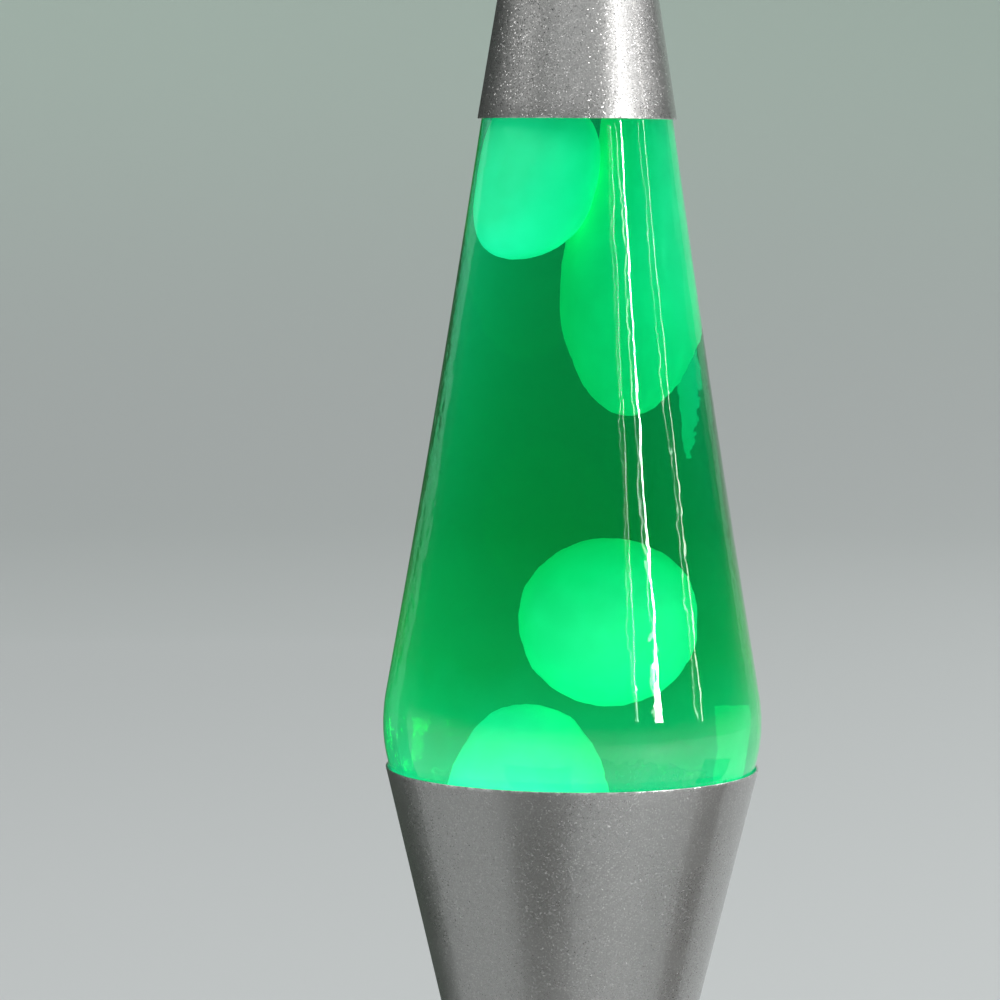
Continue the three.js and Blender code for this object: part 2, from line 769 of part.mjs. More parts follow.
{
  const tip = [
    [0, bulbBottom],
    [TIP_RADIUS * 0.7, bulbBottom + TIP_HEIGHT * 0.15],
    [TIP_RADIUS, bulbBottom + TIP_HEIGHT * 0.55],
    [TIP_RADIUS, bulbBottom + TIP_HEIGHT],
    [0, bulbBottom + TIP_HEIGHT],
  ];
  add('bulb_tip_contact', turned(tip, SMALL_SIDES), 'brass');

  const insulatorRadius = screwShellBore - GAP;
  const insulator = [
    [0, insulatorBottom],
    [TIP_RADIUS + 1, insulatorBottom],
    [insulatorRadius, screwShellBottom],
    [insulatorRadius, insulatorTop],
    [0, insulatorTop],
  ];
  add('bulb_insulator', turned(insulator, SMALL_SIDES), 'blackPlastic');

  const ridges = [];
  for (let turn = 0; turn < SCREW_TURNS; turn += 1) {
    const z = screwShellBottom + SCREW_PITCH * turn;
    ridges.push([screwRootRadius, z]);
    ridges.push([SCREW_CREST_RADIUS, z + SCREW_PITCH / 2]);
  }
  const shell = [
    [screwShellBore, screwShellBottom],
    ...ridges,
    [screwRootRadius, screwShellTop],
    [screwShellBore, screwShellTop],
  ];
  add('bulb_screw_shell', turned(shell, MEDIUM_SIDES), 'steel');

  // Glass: a straight neck in the shell, a flowing pear side and a round top.
  const pearHeight = bulbCentre - screwShellTop;
  const side = (inset) => {
    const curve = new THREE.CubicBezierCurve(
      new THREE.Vector2(BULB_NECK_RADIUS - inset, screwShellTop),
      new THREE.Vector2(BULB_NECK_RADIUS - inset, screwShellTop + pearHeight * 0.35),
      new THREE.Vector2(BULB_RADIUS - inset, bulbCentre - pearHeight * 0.5),
      new THREE.Vector2(BULB_RADIUS - inset, bulbCentre),
    );
    const low = curve.getPoints(5).map((p) => [p.x, p.y]);
    const round = arc(0, bulbCentre, BULB_RADIUS - inset, 0, Math.PI / 2, 5).slice(1);
    return [...low, ...round];
  };
  const glass = [
    [BULB_NECK_RADIUS, stemBottom],
    ...side(0),
    ...side(BULB_WALL).reverse(),
    [BULB_NECK_RADIUS - BULB_WALL, stemBottom],
  ];
  add('bulb_glass', turned(glass, MEDIUM_SIDES), 'thinGlass');

  const flareRadius = BULB_NECK_RADIUS - BULB_WALL - GAP;
  const stem = [
    [0, stemBottom],
    [flareRadius, stemBottom],
    [STEM_RADIUS, stemBottom + STEM_HEIGHT * 0.4],
    [STEM_RADIUS, stemTop],
    [0, stemTop],
  ];
  add('bulb_stem', turned(stem, 12), 'thinGlass');

  const leadStart = stemTop + GAP;
  const filamentHeight = bulbCentre;
  for (const [name, sign] of [['bulb_lead_left', -1], ['bulb_lead_right', 1]]) {
    const route = [
      [sign * STEM_RADIUS * 0.5, 0, leadStart],
      [sign * STEM_RADIUS, 0, leadStart + 3],
      [sign * FILAMENT_HALF_SPAN, 0, filamentHeight],
    ];
    add(name, wire(route, WIRE_RADIUS, 6), 'steel');
  }
  const filamentReach = FILAMENT_HALF_SPAN - WIRE_RADIUS;
  const filamentLift = FILAMENT_RADIUS + WIRE_RADIUS + GAP;
  const arch = [
    [-filamentReach, 0, filamentHeight + filamentLift],
    [-filamentReach / 2, 0, filamentHeight + filamentLift + FILAMENT_ARCH],
    [filamentReach / 2, 0, filamentHeight + filamentLift + FILAMENT_ARCH],
    [filamentReach, 0, filamentHeight + filamentLift],
  ];
  add('bulb_filament', wire(arch, FILAMENT_RADIUS, 10), 'steel');
}

// ---------------------------------------------------------------- lampholder

const terminalHeight = holderBottom + POCKET_LIP + POCKET_HEIGHT / 2;
const pocketFloor = HOLDER_RADIUS - POCKET_DEPTH;

{
  const outline = [
    [rodHole, holderBottom],
    [HOLDER_RADIUS, holderBottom],
    [HOLDER_RADIUS, holderFlangeUnder],
    [holderFlangeRadius, holderFlangeUnder],
    [holderFlangeRadius, holderFlangeTop],
    [holderBore + HOLDER_COLLAR_WALL, holderFlangeTop],
    [holderBore + HOLDER_COLLAR_WALL, holderTop],
    [holderBore, holderTop],
    [holderBore, holderFloorTop],
    [rodHole, holderFloorTop],
  ];
  const tools = [];
  for (const sign of [-1, 1]) {
    const pocket = new THREE.BoxGeometry(POCKET_DEPTH * 2, POCKET_WIDTH, POCKET_HEIGHT);
    pocket.translate(sign * HOLDER_RADIUS, 0, terminalHeight);
    tools.push(tidySolid(pocket));
    const start = [sign * (pocketFloor - TERMINAL_SHANK - GAP), 0, terminalHeight];
    const end = [sign * HOLDER_RADIUS, 0, terminalHeight];
    tools.push(rodBetween(start, end, TERMINAL_SHANK_RADIUS + GAP, 12));
  }
  add('lampholder_body', cut(turned(outline, MEDIUM_SIDES), tools), 'blackPlastic');
}

{
  const bottom = holderFloorTop + GAP + CONTACT_STRIP + GAP;
  const shell = [
    [holderShellBore, bottom],
    [holderShellRadius, bottom],
    [holderShellRadius, bottom + HOLDER_SHELL_HEIGHT],
    [holderShellBore, bottom + HOLDER_SHELL_HEIGHT],
  ];
  add('lampholder_screw_shell', turned(shell, MEDIUM_SIDES), 'brass');
}

// Springy strip with a raised middle that presses on the tip of the bulb.
{
  const low = holderFloorTop + GAP;
  const high = low + CONTACT_RISE;
  const shape = new THREE.Shape();
  shape.moveTo(-CONTACT_HALF_LENGTH, low);
  shape.lineTo(-CONTACT_RAMP_END, low);
  shape.lineTo(-CONTACT_RIDGE, high);
  shape.lineTo(CONTACT_RIDGE, high);
  shape.lineTo(CONTACT_RAMP_END, low);
  shape.lineTo(CONTACT_HALF_LENGTH, low);
  shape.lineTo(CONTACT_HALF_LENGTH, low + CONTACT_STRIP);
  shape.lineTo(CONTACT_RAMP_END, low + CONTACT_STRIP);
  shape.lineTo(CONTACT_RIDGE, high + CONTACT_STRIP);
  shape.lineTo(-CONTACT_RIDGE, high + CONTACT_STRIP);
  shape.lineTo(-CONTACT_RAMP_END, low + CONTACT_STRIP);
  shape.lineTo(-CONTACT_HALF_LENGTH, low + CONTACT_STRIP);
  const strip = new THREE.ExtrudeGeometry(shape, { depth: CONTACT_WIDTH, bevelEnabled: false });
  strip.translate(0, 0, -CONTACT_WIDTH / 2);
  strip.rotateX(Math.PI / 2);
  add('lampholder_centre_contact', tidySolid(strip), 'brass');
}

for (const [name, sign] of [['terminal_screw_left', -1], ['terminal_screw_right', 1]]) {
  const outline = [
    [0, -TERMINAL_SHANK],
    [TERMINAL_SHANK_RADIUS, -TERMINAL_SHANK],
    [TERMINAL_SHANK_RADIUS, GAP],
    [TERMINAL_HEAD_RADIUS, GAP],
    [TERMINAL_HEAD_RADIUS, GAP + TERMINAL_HEAD],
    [0, GAP + TERMINAL_HEAD],
  ];
  const screw = turned(outline, 16);
  screw.rotateY(sign * Math.PI / 2);
  screw.translate(sign * pocketFloor, 0, terminalHeight);
  add(name, screw, 'brass');
}

{
  const top = footPlateUnder - GAP;
  const outline = [
    [holeInPlates, top - RING_NUT_HEIGHT],
    [holderFlangeRadius, top - RING_NUT_HEIGHT],
    [holderFlangeRadius, top],
    [holeInPlates, top],
  ];
  add('lampholder_ring_nut', turned(outline, MEDIUM_SIDES), 'blackPlastic');
}

// ---------------------------------------------------------------- tie rod, cover and feet

{
  const rod = [
    [0, ROD_END_HEIGHT],
    [ROD_RADIUS, ROD_END_HEIGHT],
    [ROD_RADIUS, rodTop],
    [0, rodTop],
  ];
  add('tie_rod', turned(rod, 16), 'steel');

  const washer = [
    [rodHole, washerUnder],
    [WASHER_RADIUS, washerUnder],
    [WASHER_RADIUS, washerUnder + WASHER_THICKNESS],
    [rodHole, washerUnder + WASHER_THICKNESS],
  ];
  add('cover_washer', turned(washer, SMALL_SIDES), 'steel');

  const hexagon = new THREE.CylinderGeometry(NUT_RADIUS, NUT_RADIUS, NUT_HEIGHT, 6);
  hexagon.rotateX(Math.PI / 2);
  hexagon.translate(0, 0, nutTop - NUT_HEIGHT / 2);
  const bore = rodBetween([0, 0, 0], [0, 0, coverRecess], rodHole, 16);
  add('cover_nut', cut(tidySolid(hexagon), [bore]), 'steel');
}

{
  const recessSide = COVER_RECESS_RADIUS + COVER_RECESS_SLOPE;
  const outline = [
    [rodHole, coverRecess],
    [COVER_RECESS_RADIUS, coverRecess],
    [recessSide, coverUnder],
    [coverRadius, coverUnder],
    [coverRadius, coverTop],
    [recessSide + COVER_THICKNESS, coverTop],
    [COVER_RECESS_RADIUS + COVER_THICKNESS, coverRecess + COVER_THICKNESS],
    [rodHole, coverRecess + COVER_THICKNESS],
  ];
  const slots = [];
  for (let i = 0; i < VENT_SLOTS; i += 1) {
    const slot = new THREE.BoxGeometry(VENT_LENGTH, VENT_WIDTH, COVER_THICKNESS * 4);
    slot.translate(VENT_START + VENT_LENGTH / 2, 0, coverUnder);
    slot.rotateZ(2 * Math.PI * (i + 0.5) / VENT_SLOTS);
    slots.push(tidySolid(slot));
  }
  add('bottom_cover', cut(turned(outline, LARGE_SIDES), slots), 'blackPlastic');
}

for (let i = 0; i < FOOT_PADS; i += 1) {
  const outline = [
    [0, 0],
    [PAD_RADIUS, 0],
    [PAD_RADIUS, PAD_HEIGHT],
    [0, PAD_HEIGHT],
  ];
  const angle = 2 * Math.PI * (i + 0.5) / FOOT_PADS;
  const pad = add(`rubber_foot_${i + 1}`, turned(outline, SMALL_SIDES), 'rubber');
  pad.position.set(padCircle * Math.cos(angle), padCircle * Math.sin(angle), 0);
}

export default group;
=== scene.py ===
"""A lava lamp: a silver spun base and cap, and a tapered bottle of green liquid with warm wax.

Sizes are in millimetres unless a name says otherwise, and are turned to metres when a mesh is made.
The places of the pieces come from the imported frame.
"""

import math

import bmesh
import bpy
from mathutils import Matrix, Vector, noise


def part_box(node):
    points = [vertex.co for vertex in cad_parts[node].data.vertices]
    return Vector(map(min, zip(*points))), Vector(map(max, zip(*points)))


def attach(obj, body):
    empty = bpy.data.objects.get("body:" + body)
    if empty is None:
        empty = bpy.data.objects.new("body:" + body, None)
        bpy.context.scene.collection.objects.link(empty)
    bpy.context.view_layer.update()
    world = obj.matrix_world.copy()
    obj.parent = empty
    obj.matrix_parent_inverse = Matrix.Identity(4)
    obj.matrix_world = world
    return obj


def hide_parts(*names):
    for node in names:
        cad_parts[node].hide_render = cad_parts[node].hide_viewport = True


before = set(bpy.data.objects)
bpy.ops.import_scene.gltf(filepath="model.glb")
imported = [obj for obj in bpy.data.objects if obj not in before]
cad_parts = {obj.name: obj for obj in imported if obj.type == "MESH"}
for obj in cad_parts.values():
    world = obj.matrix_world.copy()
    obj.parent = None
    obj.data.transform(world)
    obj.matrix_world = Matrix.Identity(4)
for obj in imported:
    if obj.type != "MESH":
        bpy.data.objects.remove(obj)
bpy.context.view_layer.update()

MM = 0.001

# ---------------------------------------------------------------- sizes

LARGE_SIDES = 192
MEDIUM_SIDES = 96
SMALL_SIDES = 48
TINY = 1e-6
SHARP_ANGLE = math.radians(38)


class Extent:
    """Where a CAD node lies, in mm."""

    def __init__(self, node):
        low, high = (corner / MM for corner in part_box(node))
        self.bottom = low.z
        self.top = high.z
        self.height = high.z - low.z
        self.radius = (high.x - low.x) / 2
        self.half_depth = (high.y - low.y) / 2
        self.middle = (low + high) / 2
        self.low = low
        self.high = high


cap = Extent("cap_shell")
bottle = Extent("glass_bottle")
closure = Extent("bottle_closure")
liner = Extent("closure_liner")
liquid = Extent("liquid_fill")
cup = Extent("base_cup")
foot = Extent("base_foot")
coil = Extent("wax_coil")
cover = Extent("bottom_cover")
ring_nut = Extent("lampholder_ring_nut")
holder = Extent("lampholder_body")
holder_shell = Extent("lampholder_screw_shell")
bulb_glass = Extent("bulb_glass")
bulb_shell = Extent("bulb_screw_shell")
bulb_tip = Extent("bulb_tip_contact")

# Shells.
SHELL_WALL = 0.6
FLOOR_PLATE = 0.8
CAP_EDGE_ROUND = 1.5
WAIST_RADIUS = 21.8
HEM_HEIGHT = 3
HOLE_IN_PLATES = 13.5

# Bottle.
WIDEST_ABOVE_RIM = 10
SHOULDER_CURVE = 45
HEEL_CURVE = 34
HEEL_EDGE = 8
HEEL_TURN = math.radians(55)
INNER_HEEL_EDGE = 6
INNER_HEEL_TURN = math.radians(50)
SIDE_HOLLOW = 0.5
GLASS_WALL = 3
CAP_FIT = 0.35
SIDE_INTO_CAP = 8
PUNT_INSET = 5
NECK_SHOULDER_CURVE = 9
NECK_SHOULDER_TURN = math.radians(70)
NECK_FILLET = 3
NECK_RING_HEIGHT = 4
NECK_RING_PROUD = 0.8
LIQUID_OVER_GLASS = 0.08
MENISCUS = 0.7
WAX_FILM = 0.6
# Heights between which the painted glow of the bulb's light fades out in the liquid and the wax.
PAINTED_GLOW_BOTTOM = 135
PAINTED_GLOW_TOP = 305

# Lampholder, bulb and fixings.
HOLDER_COLLAR = 4
HOLDER_FLANGE = 2
HOLDER_RADIUS = 13.2
HOLDER_COLLAR_RADIUS = 11.5
HOLDER_BORE = 9.5
HOLDER_FLOOR = 8
ROD_HOLE = 3.3
POCKET_LIP = 1.2
POCKET_HEIGHT = 7
POCKET_WIDTH = 7
POCKET_DEPTH = 3.6
TERMINAL_SHANK_RADIUS = 1.2
SCREW_PITCH = 2.82
SCREW_DEPTH = 0.6
SCREW_SHELL_WALL = 0.4
BULB_NECK_RADIUS = 6.8
BULB_WALL = 0.8
BULB_STEM_RADIUS = 2
FILAMENT_HALF_SPAN = 8
FILAMENT_ARCH = 3
WIRE_RADIUS = 0.4
COVER_THICKNESS = 1
COVER_RECESS_RADIUS = 13
COVER_RECESS_SLOPE = 2
VENT_SLOTS = 16
VENT_WIDTH = 3
VENT_START = 20
VENT_LENGTH = 10
INLET_HEIGHT = 20
INLET_HOLE_RADIUS = 4.3
GROMMET_BORE = 2.4
GROMMET_FLANGE_RADIUS = 6.2
GROMMET_FACE_HALF = 2.3
GROMMET_GROOVE_HALF = 1.1

# Outer shape of the bottle: a heel's curve, a shoulder's curve and a long side up into the cap.
widest_height = cup.top + WIDEST_ABOVE_RIM
shoulder_centre = bottle.radius - SHOULDER_CURVE
heel_centre = bottle.radius - HEEL_CURVE
radius_at_cap = cap.radius - CAP_FIT - SHELL_WALL
to_cap_rim = Vector((radius_at_cap - shoulder_centre, cap.bottom - widest_height))
taper_angle = math.atan2(to_cap_rim.y, to_cap_rim.x) - math.acos(SHOULDER_CURVE / to_cap_rim.length)
taper = math.tan(taper_angle)
side_start_radius = shoulder_centre + SHOULDER_CURVE * math.cos(taper_angle)
side_start_height = widest_height + SHOULDER_CURVE * math.sin(taper_angle)
cap_top_radius = cap.radius - taper * cap.height


def side_radius(height):
    """Outer radius of the bottle on its long side, which is hollow by a hair."""
    share = min(1, (height - side_start_height) / (cap.bottom - side_start_height))
    straight = side_start_radius - taper * (height - side_start_height)
    return straight - SIDE_HOLLOW * 4 * share * (1 - share)


# ---------------------------------------------------------------- outlines and meshes

def arc(centre_radius, centre_height, radius, start, end, steps):
    """Points on an arc, with angles in radians from the radial direction towards +Z."""
    points = []
    for i in range(steps + 1):
        angle = start + (end - start) * i / steps
        points.append((centre_radius + radius * math.cos(angle), centre_height + radius * math.sin(angle)))
    return points


def rounded(corners, steps=5):
    """A closed outline from corners of (radius, height, rounding)."""
    outline = []
    for i, (radius, height, rounding) in enumerate(corners):
        here = Vector((radius, height))
        before = Vector(corners[i - 1][:2]) - here
        after = Vector(corners[(i + 1) % len(corners)][:2]) - here
        if rounding == 0:
            outline.append((radius, height))
            continue
        start = here + before.normalized() * min(rounding, before.length * 0.45)
        end = here + after.normalized() * min(rounding, after.length * 0.45)
        for k in range(steps + 1):
            t = k / steps
            outline.append(tuple(start * (1 - t) ** 2 + here * 2 * t * (1 - t) + end * t ** 2))
    return outline


def filled_in(outline, longest):
    """The same closed outline, with points added so that no stretch off the axis is too long."""
    points = []
    for i, here in enumerate(outline):
        after = outline[(i + 1) % len(outline)]
        length = math.dist(here, after)
        on_axis = here[0] < TINY and after[0] < TINY
        parts = 1 if on_axis else max(1, math.ceil(length / longest))
        for k in range(parts):
            t = k / parts
            points.append((here[0] + (after[0] - here[0]) * t, here[1] + (after[1] - here[1]) * t))
    return points


def mesh_from(name, build):
    """A new mesh from a bmesh with its faces turned outwards."""
    bmesh.ops.recalc_face_normals(build, faces=build.faces)
    mesh = bpy.data.meshes.new(name)
    build.to_mesh(mesh)
    build.free()
    return mesh


def turned(name, outline, sides, warp=None):
    """A mesh turned about the lamp's axis from a closed outline of (radius, height).

    warp moves each point, from (radius, height, angle) to (radius, height).
    """
    build = bmesh.new()
    rings = []
    for radius, height in outline:
        if radius < TINY:
            rings.append([build.verts.new((0, 0, height * MM))] * sides)
            continue
        ring = []
        for k in range(sides):
            angle = 2 * math.pi * k / sides
            r, z = warp(radius, height, angle) if warp else (radius, height)
            ring.append(build.verts.new((r * MM * math.cos(angle), r * MM * math.sin(angle), z * MM)))
        rings.append(ring)
    for low, high in zip(rings, rings[1:] + rings[:1]):
        for k in range(sides):
            after = (k + 1) % sides
            corners = list(dict.fromkeys([low[k], low[after], high[after], high[k]]))
            if len(corners) > 2:
                build.faces.new(corners)
    return mesh_from(name, build)


def tube(name, path, radius, sides, closed=False):
    """A round wire along a path of points in mm."""
    build = bmesh.new()
    points = [Vector(p) for p in path]
    count = len(points)
    rings = []
    side = None
    for i, point in enumerate(points):
        before = points[i - 1] if closed or i > 0 else point
        after = points[(i + 1) % count] if closed or i < count - 1 else point
        along = (after - before).normalized()
        if side is None:
            side = along.orthogonal()
        side = (side - along * side.dot(along)).normalized()
        across = along.cross(side)
        ring = []
        for k in range(sides):
            angle = 2 * math.pi * k / sides
            out = side * math.cos(angle) + across * math.sin(angle)
            ring.append(build.verts.new((point + out * radius) * MM))
        rings.append(ring)
    pairs = list(zip(rings, rings[1:]))
    if closed:
        pairs.append((rings[-1], rings[0]))
    else:
        build.faces.new(rings[0])
        build.faces.new(rings[-1])
    for low, high in pairs:
        for k in range(sides):
            after = (k + 1) % sides
            build.faces.new((low[k], low[after], high[after], high[k]))
    return mesh_from(name, build)


def block(name, size, middle, turn=0):
    """A box of a size in mm round a middle point, turned about the lamp's axis."""
    build = bmesh.new()
    bmesh.ops.create_cube(build, size=1)
    bmesh.ops.scale(build, vec=Vector(size) * MM, verts=build.verts)
    bmesh.ops.translate(build, vec=Vector(middle) * MM, verts=build.verts)
    bmesh.ops.rotate(build, cent=(0, 0, 0), matrix=Matrix.Rotation(turn, 3, "Z"), verts=build.verts)
    return mesh_from(name, build)


def cut_away(mesh, tools):
    """The mesh with the tools' meshes cut away from it."""
    holder_object = bpy.data.objects.new("being_cut", mesh)
    bpy.context.scene.collection.objects.link(holder_object)
    cutters = []
    for tool in tools:
        cutter = bpy.data.objects.new("cutter", tool)
        bpy.context.scene.collection.objects.link(cutter)
        cutters.append(cutter)
        step = holder_object.modifiers.new("cut", "BOOLEAN")
        step.operation = "DIFFERENCE"
        step.solver = "EXACT"
        step.object = cutter
    bpy.context.view_layer.update()
    evaluated = holder_object.evaluated_get(bpy.context.evaluated_depsgraph_get())
    result = bpy.data.meshes.new_from_object(evaluated)
    result.name = mesh.name
    for cutter in cutters:
        bpy.data.objects.remove(cutter)
    bpy.data.objects.remove(holder_object)
    return result


def add_piece(name, mesh, body, finish, slot, *nodes):
    """Puts a finished piece into the lamp, in place of its CAD nodes."""
    mesh.shade_smooth()
    mesh.set_sharp_from_angle(angle=SHARP_ANGLE)
    mesh.materials.clear()
    mesh.materials.append(finish)
    piece = bpy.data.objects.new(name, mesh)
    bpy.context.scene.collection.objects.link(piece)
    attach(piece, body)
    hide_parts(*nodes)
    return piece


def add_turned(name, outline, sides, body, finish, slot, node, warp=None):
    """Turns a piece from its outline and puts it into the lamp, in place of its CAD node."""
    return add_piece(name, turned(name, outline, sides, warp), body, finish, slot, node)


# ---------------------------------------------------------------- shader node helpers

def add_node(tree, kind, inputs=None, **settings):
    """A node whose inputs are set or, where the value is a socket, linked."""
    node = tree.nodes.new(kind)
    for name, value in settings.items():
        setattr(node, name, value)
    for name, value in (inputs or {}).items():
        if isinstance(value, bpy.types.NodeSocket):
            tree.links.new(value, node.inputs[name])
        else:
            node.inputs[name].default_value = value
    return node


def calculate(tree, operation, first, second=0.0, third=0.0):
    """The output of a maths node."""
    inputs = {0: first, 1: second}
    if operation in ("MULTIPLY_ADD", "COMPARE", "SMOOTH_MIN", "SMOOTH_MAX"):
        inputs[2] = third
    return add_node(tree, "ShaderNodeMath", inputs, operation=operation).outputs[0]


def vector_math(tree, operation, inputs):
    """A vector maths node."""
    return add_node(tree, "ShaderNodeVectorMath", inputs, operation=operation)


def scaled_share(tree, value, low, high, to_low=0.0, to_high=1.0):
    """The value's share of the way from low to high, smoothly, as a number from to_low to to_high."""
    inputs = {"Value": value, "From Min": low, "From Max": high, "To Min": to_low, "To Max": to_high}
    return add_node(tree, "ShaderNodeMapRange", inputs, interpolation_type="SMOOTHSTEP").outputs["Result"]


def mix_colours(tree, share, first, second):
    """The first colour, with a share of the second mixed in."""
    node = add_node(tree, "ShaderNodeMix", data_type="RGBA")
    for name, value in (("Factor", share), ("A", first), ("B", second)):
        socket = next(s for s in node.inputs if s.name == name and s.enabled)
        if isinstance(value, bpy.types.NodeSocket):
            tree.links.new(value, socket)
        else:
            socket.default_value = value
    return next(s for s in node.outputs if s.enabled)


def colour_ramp(tree, share, stops):
    """A colour for a share from 0 to 1, between stops of (place, colour)."""
    node = add_node(tree, "ShaderNodeValToRGB", {"Fac": share})
    ramp = node.color_ramp
    ramp.elements[0].position, ramp.elements[0].color = stops[0][0], (*stops[0][1], 1)
    ramp.elements[1].position, ramp.elements[1].color = stops[-1][0], (*stops[-1][1], 1)
    for place, colour in stops[1:-1]:
        ramp.elements.new(place).color = (*colour, 1)
    return node.outputs["Color"]


def new_group(name, inputs, outputs):
    """A shader node group. inputs holds (name, default), and outputs (name, kind)."""
    group = bpy.data.node_groups.new(name, "ShaderNodeTree")
    for label, default in inputs:
        socket = group.interface.new_socket(label, in_out="INPUT", socket_type="NodeSocketFloat")
        socket.default_value = default
    for label, kind in outputs:
        group.interface.new_socket(label, in_out="OUTPUT", socket_type=kind)
    return group, add_node(group, "NodeGroupInput").outputs, add_node(group, "NodeGroupOutput").inputs


def use_group(tree, group, **values):
    """Places a group in a material. Words in a value's name are the socket's words, in capitals."""
    inputs = {name.replace("_", " ").title(): value for name, value in values.items()}
    return add_node(tree, "ShaderNodeGroup", inputs, node_tree=group).outputs


def object_place(tree):
    """The point's place in the lamp at rest, in metres."""
    return add_node(tree, "ShaderNodeTexCoord").outputs["Object"]


def cloudy_noise(tree, place, scale, detail, roughness=0.5):
    """Smooth random values round 0.5. The scale is in patches for each metre."""
    inputs = {"Vector": place, "Scale": scale, "Detail": detail, "Roughness": roughness}
    return add_node(tree, "ShaderNodeTexNoise", inputs).outputs["Fac"]


def height_above_floor(tree, place):
    """The height of a place, in metres."""
    return add_node(tree, "ShaderNodeSeparateXYZ", {"Vector": place}).outputs["Z"]


# ---------------------------------------------------------------- shader groups

def make_flake_group():
    """Metal flakes under a paint: most lie nearly flat, and a few lean and catch the light."""
    group, given, result = new_group(
        "flakes",
        [("Flake Size", 0.3), ("Lean", 0.1), ("Loose Flakes", 0.15), ("Loose Lean", 0.5)],
        [("Sparkle", "NodeSocketFloat"), ("Loose", "NodeSocketFloat"), ("Normal", "NodeSocketVector")],
    )
    place = object_place(group)
    scale = calculate(group, "DIVIDE", 1 / MM, given["Flake Size"])
    cells = add_node(group, "ShaderNodeTexVoronoi", {"Vector": place, "Scale": scale}, feature="F1")
    parts = add_node(group, "ShaderNodeSeparateColor", {"Color": cells.outputs["Color"]}).outputs
    centred = vector_math(group, "SUBTRACT", {0: cells.outputs["Color"], 1: (0.5, 0.5, 0.5)}).outputs[0]
    pick = add_node(group, "ShaderNodeTexWhiteNoise", {"Vector": cells.outputs["Color"]}).outputs["Value"]
    loose = calculate(group, "LESS_THAN", pick, given["Loose Flakes"])
    lean = calculate(group, "MULTIPLY_ADD", loose, given["Loose Lean"], given["Lean"])
    leaning = vector_math(group, "SCALE", {0: centred, "Scale": lean}).outputs[0]
    upright = add_node(group, "ShaderNodeNewGeometry").outputs["Normal"]
    tilted = vector_math(group, "ADD", {0: upright, 1: leaning}).outputs[0]
    normal = vector_math(group, "NORMALIZE", {0: tilted}).outputs[0]
    group.links.new(parts[0], result["Sparkle"])
    group.links.new(loose, result["Loose"])
    group.links.new(normal, result["Normal"])
    return group


def make_smudge_group():
    """Soft uneven patches from handling, with fine dust on them."""
    group, given, result = new_group(
        "smudges",
        [("Patch Size", 20.0), ("Cover", 0.5)],
        [("Mask", "NodeSocketFloat")],
    )
    place = object_place(group)
    scale = calculate(group, "DIVIDE", 1 / MM, given["Patch Size"])
    clouds = cloudy_noise(group, place, scale, 5.0, 0.6)
    start = calculate(group, "SUBTRACT", 0.8, given["Cover"])
    end = calculate(group, "ADD", start, 0.35)
    group.links.new(scaled_share(group, clouds, start, end), result["Mask"])
    return group


def make_rim_wear_group():
    """Wear on an edge that runs round the lamp at one height, broken up by noise."""
    group, given, result = new_group(
        "rim wear",
        [("Edge Height", 0.0), ("Width", 1.0)],
        [("Mask", "NodeSocketFloat")],
    )
    place = object_place(group)
    in_mm = calculate(group, "MULTIPLY", height_above_floor(group, place), 1 / MM)
    away = calculate(group, "ABSOLUTE", calculate(group, "SUBTRACT", in_mm, given["Edge Height"]))
    near = scaled_share(group, away, 0.0, given["Width"], 1.0, 0.0)
    broken = cloudy_noise(group, place, 0.45 / MM, 4.0, 0.65)
    patches = scaled_share(group, broken, 0.42, 0.62)
    group.links.new(calculate(group, "MULTIPLY", near, patches), result["Mask"])
    return group


def make_turning_group():
    """Fine rings that a lathe or a press leaves on metal, with a few short scratches."""
    group, given, result = new_group(
        "turning lines",
        [("Spacing", 0.3), ("Scratches", 0.5)],
        [("Height", "NodeSocketFloat"), ("Tone", "NodeSocketFloat")],
    )
    place = object_place(group)
    parts = add_node(group, "ShaderNodeSeparateXYZ", {"Vector": place}).outputs
    square_x = calculate(group, "MULTIPLY", parts["X"], parts["X"])
    square_y = calculate(group, "MULTIPLY", parts["Y"], parts["Y"])
    radius = calculate(group, "SQRT", calculate(group, "ADD", square_x, square_y))
    profile = calculate(group, "ADD", radius, parts["Z"])
    scale = calculate(group, "DIVIDE", 1 / MM, given["Spacing"])
    lines = add_node(
        group,
        "ShaderNodeTexNoise",
        {"W": profile, "Scale": scale, "Detail": 3.0, "Roughness": 0.7},
        noise_dimensions="1D",
    ).outputs["Fac"]
    stretched = vector_math(group, "MULTIPLY", {0: place, 1: (1.0, 1.0, 0.05)}).outputs[0]
    scratches = cloudy_noise(group, stretched, 1.6 / MM, 2.0)
    scratch_mask = scaled_share(group, scratches, 0.66, 0.72)
    scratch_depth = calculate(group, "MULTIPLY", scratch_mask, given["Scratches"])
    group.links.new(calculate(group, "SUBTRACT", lines, scratch_depth), result["Height"])
    group.links.new(lines, result["Tone"])
    return group


def make_grain_group():
    """Fine pebbled grain of moulded plastic and rubber, with specks of dust."""
    group, given, result = new_group(
        "moulded grain",
        [("Grain Size", 0.4), ("Dust", 0.3)],
        [("Height", "NodeSocketFloat"), ("Dust Mask", "NodeSocketFloat")],
    )
    place = object_place(group)
    scale = calculate(group, "DIVIDE", 1 / MM, given["Grain Size"])
    grain = cloudy_noise(group, place, scale, 3.0, 0.55)
    clouds = cloudy_noise(group, place, 0.12 / MM, 6.0, 0.75)
    settled = calculate(group, "MULTIPLY", scaled_share(group, clouds, 0.5, 0.75), given["Dust"])
    group.links.new(grain, result["Height"])
    group.links.new(settled, result["Dust Mask"])
    return group


